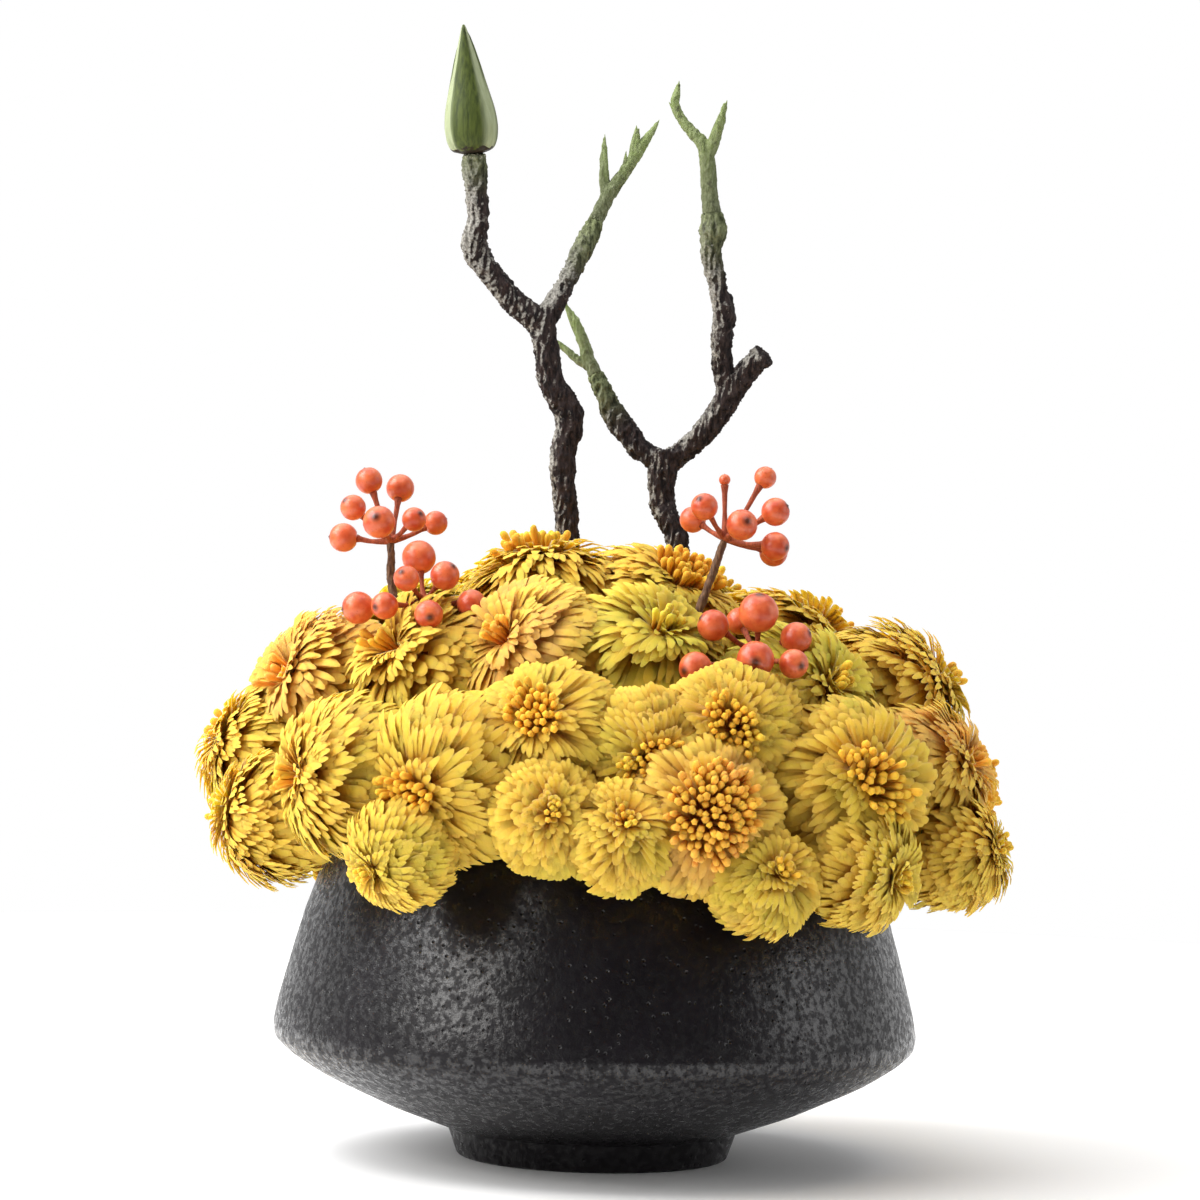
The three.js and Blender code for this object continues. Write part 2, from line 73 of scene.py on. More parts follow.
def seen(red: int, green: int, blue: int) -> Colour:
    """Turns a colour as it looks on a screen into linear light.

    Args:
        red, green, blue: The colour's parts, from 0 to 255.

    Returns:
        The same colour as linear values from 0 to 1.
    """
    shares = (red / 255, green / 255, blue / 255)
    return tuple(s / 12.92 if s <= 0.04045 else ((s + 0.055) / 1.055) ** 2.4 for s in shares)


def focus(*pieces: Piece) -> None:
    """Selects these pieces and nothing else, and makes the first one active.

    Args:
        pieces: The pieces.
    """
    bpy.ops.object.select_all(action="DESELECT")
    for piece in pieces:
        piece.select_set(True)
    bpy.context.view_layer.objects.active = pieces[0]


def named(name: str) -> Piece:
    """Names the piece that was just made, and its mesh.

    Args:
        name: The new name.

    Returns:
        The piece.
    """
    piece = bpy.context.object
    piece.name = name
    piece.data.name = name
    return piece


def joined(name: str, pieces: list[Piece]) -> Piece:
    """Joins pieces into one mesh and puts its place into the mesh.

    Args:
        name: The mesh's name.
        pieces: What it is made of.

    Returns:
        The joined piece.
    """
    focus(*pieces)
    if len(pieces) > 1:
        bpy.ops.object.join()
    bpy.ops.object.transform_apply(location=True, rotation=True, scale=True)
    return named(name)


def finish_with(piece: Piece, kind: str, **settings: object) -> None:
    """Adds one modifier to a piece and applies it.

    Args:
        piece: The piece to work on.
        kind: The modifier's type.
        settings: The modifier's values.
    """
    focus(piece)
    modifier = piece.modifiers.new(kind.lower(), kind)
    for key, value in settings.items():
        setattr(modifier, key, value)
    bpy.ops.object.modifier_apply(modifier=modifier.name)


@contextmanager
def editing() -> Iterator[None]:
    """Edit mode with everything selected, and object mode again at the end.

    Yields:
        Nothing.
    """
    bpy.ops.object.mode_set(mode="EDIT")
    bpy.ops.mesh.select_all(action="SELECT")
    yield
    bpy.ops.object.mode_set(mode="OBJECT")


def pick(piece: Piece, wanted: Array) -> None:
    """Selects vertices of the piece in edit mode, by a True or False for each.

    Args:
        piece: The piece.
        wanted: True or False for each vertex.
    """
    bpy.ops.object.mode_set(mode="OBJECT")
    mesh = piece.data
    mesh.vertices.foreach_set("select", wanted)
    ends = np.empty(len(mesh.edges) * 2, dtype=np.int32)
    mesh.edges.foreach_get("vertices", ends)
    mesh.edges.foreach_set("select", wanted[ends.reshape(-1, 2)].all(axis=1))
    mesh.polygons.foreach_set("select", [all(wanted[v] for v in face.vertices) for face in mesh.polygons])
    bpy.ops.object.mode_set(mode="EDIT")


def each(items: bpy.types.bpy_prop_collection, key: str, parts: int = 3) -> Array:
    """Reads one value of every item.

    Args:
        items: The items, such as a mesh's vertices.
        key: The value's name.
        parts: How many numbers the value has.

    Returns:
        A row for each item.
    """
    rows = np.empty((len(items), parts))
    items.foreach_get(key, rows.ravel())
    return rows


def places(piece: Piece) -> Array:
    """The piece's vertices, in metres."""
    return each(piece.data.vertices, "co")


def mark(piece: Piece, name: str, values: Array) -> None:
    """Stores one number for each vertex, for the material to read."""
    layer = piece.data.attributes.new(name, "FLOAT", "POINT")
    layer.data.foreach_set("value", values.astype(np.float32))


def smooth_step(low: float, high: float, values: Array) -> Array:
    """Rises smoothly from 0 at low to 1 at high."""
    share = np.clip((values - low) / (high - low), 0, 1)
    return share * share * (3 - 2 * share)


def bent_rod(knots: list[Knot], steps: int = 6, roundness: int = 3) -> Piece:
    """A round rod bent through its knots, as a closed mesh.

    Args:
        knots: x, y, z and radius at each knot, in millimetres.
        steps: Rings between two knots.
        roundness: Bevel steps in a quarter of the rod's section.

    Returns:
        The rod.
    """
    bpy.ops.curve.primitive_bezier_curve_add(location=(0, 0, 0))
    rod = bpy.context.object
    spline = rod.data.splines[0]
    spline.bezier_points.add(len(knots) - 2)
    for point, (x, y, z, radius) in zip(spline.bezier_points, knots):
        point.co = (x * MM, y * MM, z * MM)
        point.handle_left_type = "AUTO"
        point.handle_right_type = "AUTO"
        point.radius = radius
    rod.data.resolution_u = steps
    rod.data.bevel_depth = MM
    rod.data.bevel_resolution = roundness
    rod.data.use_fill_caps = True
    focus(rod)
    bpy.ops.object.convert(target="MESH")
    with editing():
        bpy.ops.mesh.remove_doubles(threshold=HAIR)
        bpy.ops.mesh.normals_make_consistent(inside=False)
    return rod


def rounded(corners: list[Place], turn_step: float = 7.0, most: float = 0.48) -> Outline:
    """Rounds the corners of an outline.

    Args:
        corners: Radius, height and fillet of each corner. A fillet that is too wide is made to fit.
        turn_step: Degrees that the outline turns between two points of a round corner.
        most: Share of the shorter side that a round corner may use up.

    Returns:
        The points of the rounded outline.
    """
    outline = [corners[0][:2]]
    for before, (r, z, fillet), after in zip(corners, corners[1:], corners[2:]):
        corner = Vector((r, z))
        back, ahead = Vector(before[:2]) - corner, Vector(after[:2]) - corner
        room = most * min(back.length, ahead.length)
        back.normalize()
        ahead.normalize()
        turn = math.pi - back.angle(ahead)
        if turn < math.radians(1) or fillet == 0:
            outline.append((r, z))
            continue
        reach = min(fillet * math.tan(turn / 2), room)
        radius = reach / math.tan(turn / 2)
        centre = corner + (back + ahead).normalized() * (radius / math.cos(turn / 2))
        first, last = corner + back * reach - centre, corner + ahead * reach - centre
        opening = math.atan2(first.y, first.x)
        sweep = math.atan2(first.x * last.y - first.y * last.x, first.dot(last))
        steps = max(2, round(math.degrees(turn) / turn_step))
        outline.extend(
            (centre.x + radius * math.cos(opening + sweep * i / steps),
             centre.y + radius * math.sin(opening + sweep * i / steps))
            for i in range(steps + 1)
        )
    return [*outline, corners[-1][:2]]


def turned(name: str, outline: Outline, sides: int) -> Piece:
    """Turns an outline of radius and height round the Z axis, ring by ring, and closes both ends.

    Args:
        name: The piece's name.
        outline: Radius and height of each ring, in millimetres.
        sides: Sides of each ring.

    Returns:
        The turned piece.
    """
    (radius, height), *rest = outline
    bpy.ops.mesh.primitive_circle_add(vertices=sides, radius=radius * MM, location=(0, 0, height * MM))
    bpy.ops.object.transform_apply(location=True)
    with editing():
        bpy.ops.mesh.edge_face_add()
        for next_radius, next_height in rest:
            rise, grow = (next_height - height) * MM, next_radius / radius
            bpy.ops.mesh.extrude_region_move(TRANSFORM_OT_translate={"value": (0, 0, rise)})
            bpy.ops.transform.resize(value=(grow, grow, 1), center_override=(0, 0, 0))
            radius, height = next_radius, next_height
        bpy.ops.mesh.select_all(action="SELECT")
        bpy.ops.mesh.normals_make_consistent(inside=False)
    return named(name)


def face_along(piece: Piece, way: Vector, axis: str = "Z") -> None:
    """Turns a piece so that this axis of it points along the way."""
    piece.rotation_mode = "QUATERNION"
    piece.rotation_quaternion = way.to_track_quat(axis, "Y")


def lean(piece: Piece, foot: Place, tip: Place) -> None:
    """Turns a piece that stands on the origin so that it points from foot to tip, in millimetres.

    Args:
        piece: The piece.
        foot: Where it starts.
        tip: Where it points.
    """
    start = Vector(foot) * MM
    face_along(piece, Vector(tip) * MM - start)
    piece.location = start
    focus(piece)
    bpy.ops.object.transform_apply(location=True, rotation=True, scale=True)


def hand_over(piece: Piece, finish: "Finish", slot: str, *nodes: str) -> None:
    """Gives a finished piece its material, its body and the nodes that it stands for, and reports it.

    Args:
        piece: The finished piece.
        finish: What its surface is.
        slot: The record's material slot. It is not used.
        nodes: The nodes that it replaces.
    """
    piece.data.materials.clear()
    piece.data.materials.append(finish.material())
    focus(piece)
    bpy.ops.object.shade_smooth_by_angle(angle=CREASE)
    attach(piece, BODY)
    if nodes:
        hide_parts(*nodes)
    LOG.info("%s: %d faces", piece.name, len(piece.data.polygons))


# ---- Finishes ----

class Recipe:
    """The nodes of one material, added and linked one after another."""

    def __init__(self, name: str) -> None:
        """Starts a material with a plain shader and the piece's own coordinates.

        Args:
            name: The material's name.
        """
        self.material = bpy.data.materials.new(name)
        self.material.use_nodes = True
        self.tree = self.material.node_tree
        self.shader = self.tree.nodes["Principled BSDF"]
        self.place = self.tree.nodes.new("ShaderNodeTexCoord").outputs["Object"]

    def feed(self, socket: Socket, value: object) -> None:
        """Links a socket to another, or sets its value.

        Args:
            socket: The socket.
            value: A socket or a value.
        """
        if isinstance(value, Socket):
            self.tree.links.new(value, socket)
        elif isinstance(value, tuple) and socket.type == "RGBA":
            socket.default_value = (*value, 1)
        else:
            socket.default_value = value

    def add(self, kind: str, inputs: dict, output: int | str = 0, **settings: object) -> Socket:
        """Adds one node.

        Args:
            kind: The node's type.
            inputs: Values or sockets for its inputs.
            output: Which output to give back.
            settings: The node's own options.

        Returns:
            The chosen output.
        """
        node = self.tree.nodes.new(kind)
        for key, value in settings.items():
            setattr(node, key, value)
        for key, value in inputs.items():
            self.feed(node.inputs[key], value)
        return node.outputs[output]

    def stretched(self, x: float, y: float, z: float) -> Socket:
        """The piece's coordinates with the pattern made longer along each axis by these shares."""
        return self.add("ShaderNodeMapping", {"Vector": self.place, "Scale": (1 / x, 1 / y, 1 / z)})

    def grain(self, size: float, detail: float = 3, place: Socket | None = None,
              roughness: float = 0.5) -> Socket:
        """Soft noise whose grains are this many millimetres across."""
        inputs = {"Vector": place or self.place, "Scale": 1 / (size * MM), "Detail": detail}
        return self.add("ShaderNodeTexNoise", {**inputs, "Roughness": roughness})

    def cells(self, size: float, place: Socket | None = None) -> Socket:
        """Distance from the middle of cells that are this many millimetres across."""
        inputs = {"Vector": place or self.place, "Scale": 1 / (size * MM)}
        return self.add("ShaderNodeTexVoronoi", inputs, "Distance")

    def fall(self, value: Socket, low: float, high: float,
             to_low: float = 0.0, to_high: float = 1.0) -> Socket:
        """Spreads low..high over to_low..to_high and keeps within them."""
        inputs = {"Value": value, "From Min": low, "From Max": high, "To Min": to_low, "To Max": to_high}
        return self.add("ShaderNodeMapRange", inputs)

    def mixed(self, first: object, second: object, share: object, how: str = "MIX") -> Socket:
        """Mixes two colours."""
        inputs = {0: share, 6: first, 7: second}
        return self.add("ShaderNodeMix", inputs, 2, data_type="RGBA", blend_type=how)

    def sums(self, first: object, second: object, how: str = "ADD") -> Socket:
        """Works out one number from two."""
        return self.add("ShaderNodeMath", {0: first, 1: second}, operation=how)

    def shades(self, value: Socket, stops: list[tuple[float, Colour]]) -> Socket:
        """Turns a number into a colour along the stops.

        Args:
            value: The number.
            stops: Place and colour of each stop, in order.

        Returns:
            The colour.
        """
        output = self.add("ShaderNodeValToRGB", {"Fac": value})
        ramp = output.node.color_ramp
        ramp.elements[0].position, ramp.elements[0].color = stops[0][0], (*stops[0][1], 1)
        ramp.elements[1].position, ramp.elements[1].color = stops[-1][0], (*stops[-1][1], 1)
        for position, colour in stops[1:-1]:
            ramp.elements.new(position).color = (*colour, 1)
        return output

    def marked(self, name: str) -> Socket:
        """The number that was marked on the piece under this name."""
        return self.add("ShaderNodeAttribute", {}, "Fac", attribute_name=name)

    def relief(self, height: Socket, depth: float,
               under: Socket | None = None) -> Socket:
        """A bumpy surface of this depth in millimetres, on top of another one if it is given.

        Args:
            height: How high each place is, from 0 to 1.
            depth: What 1 is in millimetres.
            under: The surface below, if there is one.

        Returns:
            The surface's normal.
        """
        inputs = {"Height": height, "Distance": depth * MM, "Strength": 1.0}
        if under is not None:
            inputs["Normal"] = under
        return self.add("ShaderNodeBump", inputs)

    def dress(self, **inputs: object) -> Material:
        """Feeds the shader and gives the material back.

        Args:
            inputs: Values or sockets, by the input's name with _ for a space.

        Returns:
            The material.
        """
        for key, value in inputs.items():
            self.feed(self.shader.inputs[key.replace("_", " ")], value)
        return self.material


@dataclass(frozen=True)
class Finish:
    """A surface, made into a material once and used wherever it is asked for."""

    name: str

    def material(self) -> Material:
        """The finish's material."""
        return bpy.data.materials.get(self.name) or self.mix()

    def mix(self) -> Material:
        """Makes the material."""
        raise NotImplementedError


@dataclass(frozen=True)
class Stoneware(Finish):
    """Matt black stoneware with a mottled, finely pitted skin."""

    pit: Colour = seen(4, 2, 4)
    dark: Colour = seen(8, 5, 8)
    pale: Colour = seen(18, 14, 19)

    def mix(self) -> Material:
        """Makes the material.

        Returns:
            The material.
        """
        recipe = Recipe(self.name)
        cloud = recipe.grain(14, 4)
        mottle = recipe.grain(2.0, 5, roughness=0.65)
        share = recipe.fall(recipe.sums(cloud, mottle, "MULTIPLY"), 0.16, 0.4)
        pits = recipe.fall(recipe.cells(2.8), 0.07, 0.2)
        colour = recipe.mixed(self.pit, recipe.mixed(self.dark, self.pale, share), pits)
        skin = recipe.relief(recipe.grain(0.8, 4, roughness=0.7), 0.05)
        skin = recipe.relief(mottle, 0.17, skin)
        skin = recipe.relief(pits, 0.2, skin)
        glaze = recipe.sums(recipe.fall(mottle, 0.42, 0.55, 1.0, 0.1), pits, "MULTIPLY")
        return recipe.dress(
            Base_Color=colour, Roughness=0.42, Normal=skin, Specular_IOR_Level=0.16, Coat_Weight=glaze,
            Coat_Roughness=0.2, Coat_Normal=skin,
        )


@dataclass(frozen=True)
class FoamBlock(Finish):
    """Wet green floral foam with open pores."""

    pore: Colour = seen(30, 48, 28)
    wall: Colour = seen(72, 98, 60)

    def mix(self) -> Material:
        """Makes the material.

        Returns:
            The material.
        """
        recipe = Recipe(self.name)
        pores = recipe.cells(0.9)
        colour = recipe.mixed(self.pore, self.wall, recipe.fall(pores, 0.1, 0.6))
        skin = recipe.relief(pores, 0.4)
        return recipe.dress(Base_Color=colour, Roughness=0.95, Normal=skin)


@dataclass(frozen=True)
class Bark(Finish):
    """Rough dark bark with grey crusts, partly lichen and partly painted light on the lit side, turning green
    where it is marked young.
    """

    fissure: Colour = seen(20, 16, 18)
    ridge: Colour = seen(72, 60, 58)
    crust_dark: Colour = seen(104, 100, 94)
    crust_pale: Colour = seen(190, 187, 178)
    young_dark: Colour = seen(52, 58, 34)
    young_pale: Colour = seen(138, 146, 104)
    fibre: Colour = seen(192, 190, 164)

    def mix(self) -> Material:
        """Makes the material.

        Returns:
            The material.
        """
        recipe = Recipe(self.name)
        fissures = recipe.grain(1.3, 5, recipe.stretched(1, 1, 3.2), 0.65)
        crust = recipe.grain(4, 6, roughness=0.75)
        speck = recipe.grain(0.7, 3)
        old = recipe.mixed(self.fissure, self.ridge, recipe.fall(fissures, 0.38, 0.7))
        grey = recipe.mixed(self.crust_dark, self.crust_pale, recipe.fall(speck, 0.35, 0.65))
        # The marked crust is partly lichen and partly painted light on the lit side.
        cover = recipe.sums(recipe.fall(crust, 0.62, 0.38, 0, 0.62), recipe.marked("lichen"))
        old = recipe.mixed(old, grey, recipe.fall(cover, 0.78, 1.1, 0, 0.85))
        green = recipe.mixed(self.young_dark, self.young_pale, recipe.fall(fissures, 0.36, 0.64))
        colour = recipe.mixed(old, green, recipe.marked("young"))
        fibres = recipe.sums(recipe.marked("lichen"), recipe.fall(speck, 0.4, 0.6, 0, 0.7))
        colour = recipe.mixed(colour, self.fibre, recipe.fall(fibres, 2.3, 2.5))
        skin = recipe.relief(fissures, 0.6)
        skin = recipe.relief(speck, 0.3, skin)
        return recipe.dress(Base_Color=colour, Roughness=0.9, Normal=skin, Specular_IOR_Level=0.25)


@dataclass(frozen=True)
class Greenwood(Finish):
    """Young green wood, from dusty olive at its foot to fresh green at its points."""

    foot: Colour = seen(84, 90, 58)
    tip: Colour = seen(122, 138, 78)
    down: Colour = seen(166, 172, 138)
    spot: Colour = seen(58, 58, 38)

    def mix(self) -> Material:
        """Makes the material.

        Returns:
            The material.
        """
        recipe = Recipe(self.name)
        down = recipe.grain(0.7, 5, recipe.stretched(1, 1, 2.5), 0.7)
        colour = recipe.mixed(self.foot, self.tip, recipe.marked("young"))
        pale = recipe.fall(down, 0.42, 0.7, 0, 0.5)
        colour = recipe.mixed(colour, self.down, pale)
        colour = recipe.mixed(colour, self.spot, recipe.fall(recipe.grain(2.2, 4), 0.56, 0.7, 0, 0.8))
        skin = recipe.relief(down, 0.35)
        return recipe.dress(Base_Color=colour, Roughness=0.75, Normal=skin, Specular_IOR_Level=0.35)


@dataclass(frozen=True)
class BudSkin(Finish):
    """Waxy bud scales: deep olive along their backs and a grey-green bloom at their edges."""

    back_dark: Colour = seen(48, 60, 18)
    back_pale: Colour = seen(80, 92, 34)
    edge_dark: Colour = seen(138, 148, 104)
    edge_pale: Colour = seen(178, 186, 152)
    scar: Colour = seen(38, 30, 18)

    def mix(self) -> Material:
        """Makes the material.

        Returns:
            The material.
        """
        recipe = Recipe(self.name)
        veins = recipe.grain(0.9, 4, recipe.stretched(1, 1, 9), 0.6)
        back = recipe.mixed(self.back_dark, self.back_pale, recipe.fall(veins, 0.35, 0.65))
        edge = recipe.mixed(self.edge_dark, self.edge_pale, veins)
        colour = recipe.mixed(back, edge, recipe.marked("edge"))
        torn = recipe.sums(recipe.marked("scar"), recipe.fall(recipe.grain(1.6, 4), 0.35, 0.65, -0.4, 0.4))
        colour = recipe.mixed(colour, self.scar, recipe.fall(torn, 0.45, 0.6))
        skin = recipe.relief(veins, 0.16)
        return recipe.dress(Base_Color=colour, Roughness=0.58, Normal=skin, Specular_IOR_Level=0.3)


@dataclass(frozen=True)
class Twig(Finish):
    """A thin stem with fine lengthwise streaks."""

    dark: Colour = seen(70, 46, 34)
    pale: Colour = seen(134, 100, 70)

    def mix(self) -> Material:
        """Makes the material.

        Returns:
            The material.
        """
        recipe = Recipe(self.name)
        streaks = recipe.grain(0.6, 4, recipe.stretched(1, 1, 4), 0.65)
        colour = recipe.mixed(self.dark, self.pale, recipe.fall(streaks, 0.35, 0.68))
        skin = recipe.relief(streaks, 0.18)
        return recipe.dress(Base_Color=colour, Roughness=0.7, Normal=skin, Specular_IOR_Level=0.35)


@dataclass(frozen=True)
class BerrySkin(Finish):
    """Tight orange-red skin, darker at the tip and paler round the stalk."""

    red: Colour = seen(194, 74, 38)
    orange: Colour = seen(224, 114, 68)
    at_stalk: Colour = seen(236, 132, 84)
    at_tip: Colour = seen(58, 24, 18)
    dot: Colour = seen(176, 56, 30)
    # How far each colour of light spreads under the skin.
    glow: Colour = (1.0, 0.35, 0.15)

    def mix(self) -> Material:
        """Makes the material.

        Returns:
            The material.
        """
        recipe = Recipe(self.name)
        blush = recipe.grain(4.5, 3)
        colour = recipe.mixed(self.red, self.orange, recipe.fall(blush, 0.36, 0.64))
        along = recipe.marked("along")
        colour = recipe.mixed(colour, self.at_stalk, recipe.fall(along, 0.3, 0.0, 0, 0.5))
        colour = recipe.mixed(colour, self.at_tip, recipe.fall(along, 0.955, 0.99, 0, 0.9))
        dots = recipe.fall(recipe.cells(1.1), 0.1, 0.22)
        colour = recipe.mixed(self.dot, colour, recipe.fall(dots, 0, 1, 0.6, 1))
        skin = recipe.relief(recipe.grain(1.3, 3), 0.06)
        return recipe.dress(
            Base_Color=colour, Roughness=0.3, Normal=skin, Subsurface_Weight=0.18,
            Subsurface_Radius=self.glow, Subsurface_Scale=1.2 * MM, Specular_IOR_Level=0.5,
        )


@dataclass(frozen=True)
class Petal(Finish):
    """Soft petal: brown-gold at its foot, which is partly painted shade deep in the head, and clear yellow at
    its tip, with patches of a second shade.
    """

    # The foot colour is partly the petal's own and partly painted shade that makes the deep parts between
    # petals brown-gold.
    foot: Colour = seen(206, 138, 46)
    middle: Colour = seen(230, 174, 54)
    tip: Colour = seen(245, 196, 72)
    patch: Colour = seen(224, 188, 64)
    patch_share: float = 0.4
    # Dimmest and brightest petal, and the shift of hue between them.
    lightness: tuple[float, float] = (0.84, 1.08)
    hue: tuple[float, float] = (0.497, 0.504)
    # How far each colour of light spreads under the skin.
    glow: Colour = (1.0, 0.66, 0.26)

    def mix(self) -> Material:
        """Makes the material.

        Returns:
            The material.
        """
        recipe = Recipe(self.name)
        along = recipe.marked("along")
        tone = recipe.marked("tone")
        # Foot to tip: the brown-gold foot is partly painted shade.
        colour = recipe.shades(along, [(0.4, self.foot), (0.68, self.middle), (0.92, self.tip)])
        patch = recipe.fall(recipe.grain(24, 2), 0.62 - 0.3 * self.patch_share, 0.7 - 0.2 * self.patch_share)
        patch = recipe.sums(patch, recipe.fall(along, 0.25, 0.7), "MULTIPLY")
        colour = recipe.mixed(colour, self.patch, recipe.sums(patch, 0.85, "MULTIPLY"))
        light, hue = recipe.fall(tone, 0, 1, *self.lightness), recipe.fall(tone, 0, 1, *self.hue)
        colour = recipe.add("ShaderNodeHueSaturation", {"Color": colour, "Value": light, "Hue": hue})
        skin = recipe.relief(recipe.grain(0.5, 2), 0.05)
        return recipe.dress(
            Base_Color=colour, Roughness=0.7, Normal=skin, Subsurface_Weight=0.5,
            Subsurface_Radius=self.glow, Subsurface_Scale=2.2 * MM, Specular_IOR_Level=0.2,
        )


@dataclass(frozen=True)
class PaleFloor(Finish):
    """A plain, pale, matt floor."""

    def mix(self) -> Material:
        """Makes the material."""
        return Recipe(self.name).dress(Base_Color=(0.92, 0.92, 0.92), Roughness=0.9, Specular_IOR_Level=0.1)


BERRY_SKIN = BerrySkin("berry_skin")
GREEN_STEM = Twig("green_stem", seen(52, 78, 30), seen(118, 148, 78))
BROWN_TWIG = Twig("brown_twig")
BERRY_STALK = Twig("berry_stalk", seen(128, 58, 36), seen(188, 96, 62))


# ---- Bowl and foam ----

@dataclass
class Bowl:
    """The turned bowl: a hollow foot, a low cone, a rounded shoulder and a wall that leans in."""

    sides: int = 144
    # Radius, height and fillet of each corner, from the middle underneath round to the inside floor.
    corners: list[Place] = field(default_factory=lambda: [
        (2, 5, 0), (33, 5, 1.5), (35, 0, 0.8), (40.5, 0, 1.6), (43.5, 8.5, 1.2), (62, 15.3, 60),
        (83, 25, 60), (92, 31, 14), (95.9, 34.8, 3), (96.5, 38.5, 6), (95.4, 45, 40), (87.8, 73, 200),
        (79.6, 94.4, 2.4), (77.2, 96, 1.8), (75.2, 93.4, 1.6), (82.8, 73, 200), (91.3, 41, 10),
        (88, 34, 6), (62, 20.9, 60), (46, 13.5, 8), (2, 13.5, 0),
    ])

    def build(self) -> None:
        """Turns the bowl and hands it over."""
        bowl = turned("bowl_stoneware", rounded(self.corners), self.sides)
        hand_over(bowl, Stoneware("stoneware"), "bowl_ceramic", "bowl")


def dress_foam() -> None:
    """Gives the block of foam, whose shape is right already, its open-pored finish."""
    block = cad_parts["floral_foam"]
    block.material_slots[0].material = FoamBlock("foam_pores").material()
    LOG.info("%s: dressed", block.name)


# ---- Branches ----

LEFT_TRUNK: list[Knot] = [
    (-10, 6, 84, 3.2), (-10, 6, 128, 3.2), (-12, 8, 186, 3.3), (-14, 8, 210, 3.6), (-12.5, 8, 222, 4.3),
    (-18, 6, 232, 3.7), (-20, 5, 243, 3.6), (-22, 5, 252, 4.2),
]
LEFT_BARK: list[list[Knot]] = [
    [(-21, 5, 249, 3.7), (-30, 4, 256, 3.6), (-36, 2, 263, 3.2), (-42, 0, 272, 3.9), (-41, -2, 280, 2.9),
     (-42, -3, 289, 3.2), (-43, -4, 299, 3.6)],
    [(-21, 5, 249, 3.4), (-14, 8, 263, 2.6), (-10, 12, 272, 3.0), (-6, 15, 281, 2.4)],
]
LEFT_SHOOTS: list[list[Knot]] = [
    [(-6, 15, 281, 2.3), (-3, 17, 288, 2.1), (2, 19, 296, 1.9), (7, 21.5, 304, 1.7), (12, 24, 312, 0.5)],
    [(4, 20, 299, 1.5), (5.5, 21, 304, 1.3), (6, 22, 310, 0.5)],
    [(-3, 17, 287, 1.5), (-4, 19, 297, 1.4), (-4, 20, 307, 0.5)],
]
RIGHT_TRUNK: list[Knot] = [
    (18, 14, 84, 2.9), (18, 14, 128, 2.9), (21, 16, 174, 3.0), (21, 16.5, 186, 3.5), (16.5, 20, 196, 3.6),
    (17, 22, 212, 4.4),
]
RIGHT_BARK: list[list[Knot]] = [
    [(18, 22, 208, 3.6), (10, 23, 212, 3.1), (5, 25, 218, 3.4), (1, 27, 223, 3.5), (-2, 28, 229, 2.7),
     (-5, 29, 235, 2.3)],
    [(16, 22, 208, 3.7), (22, 21, 212, 3.2), (29, 19, 219, 3.4), (35, 17, 228, 3.7), (40, 14.5, 236, 3.4),
     (46, 12, 242, 3.6)],
    [(36, 17, 228, 3.5), (34, 16, 236, 3.0), (33, 14, 246, 3.1), (33.5, 12, 254, 3.2), (31, 10, 263, 2.7),
     (29, 9, 272, 3.0), (29.4, 8, 279, 4.0), (28.8, 8, 284, 3.0)],
]
RIGHT_SIDE_SHOOTS: list[list[Knot]] = [
    [(-5, 29, 235, 2.2), (-8, 30, 242, 1.9), (-11, 31, 250, 1.5), (-15, 32, 257, 0.5)],
    [(-6, 29.5, 237, 1.6), (-11, 31, 240, 1.2), (-17, 33, 245, 0.5)],
]
RIGHT_TOP_SHOOTS: list[list[Knot]] = [
    [(28.8, 8, 284, 2.8), (28, 8, 290.5, 2.4), (27, 8, 300, 2.4), (26, 8, 304, 2.1), (20, 10, 311, 1.5),
     (17, 11, 317, 1.3), (18, 12, 323, 0.5)],
    [(27, 8, 301, 2.1), (30, 6, 309, 1.7), (32, 4, 317, 0.5)],
]


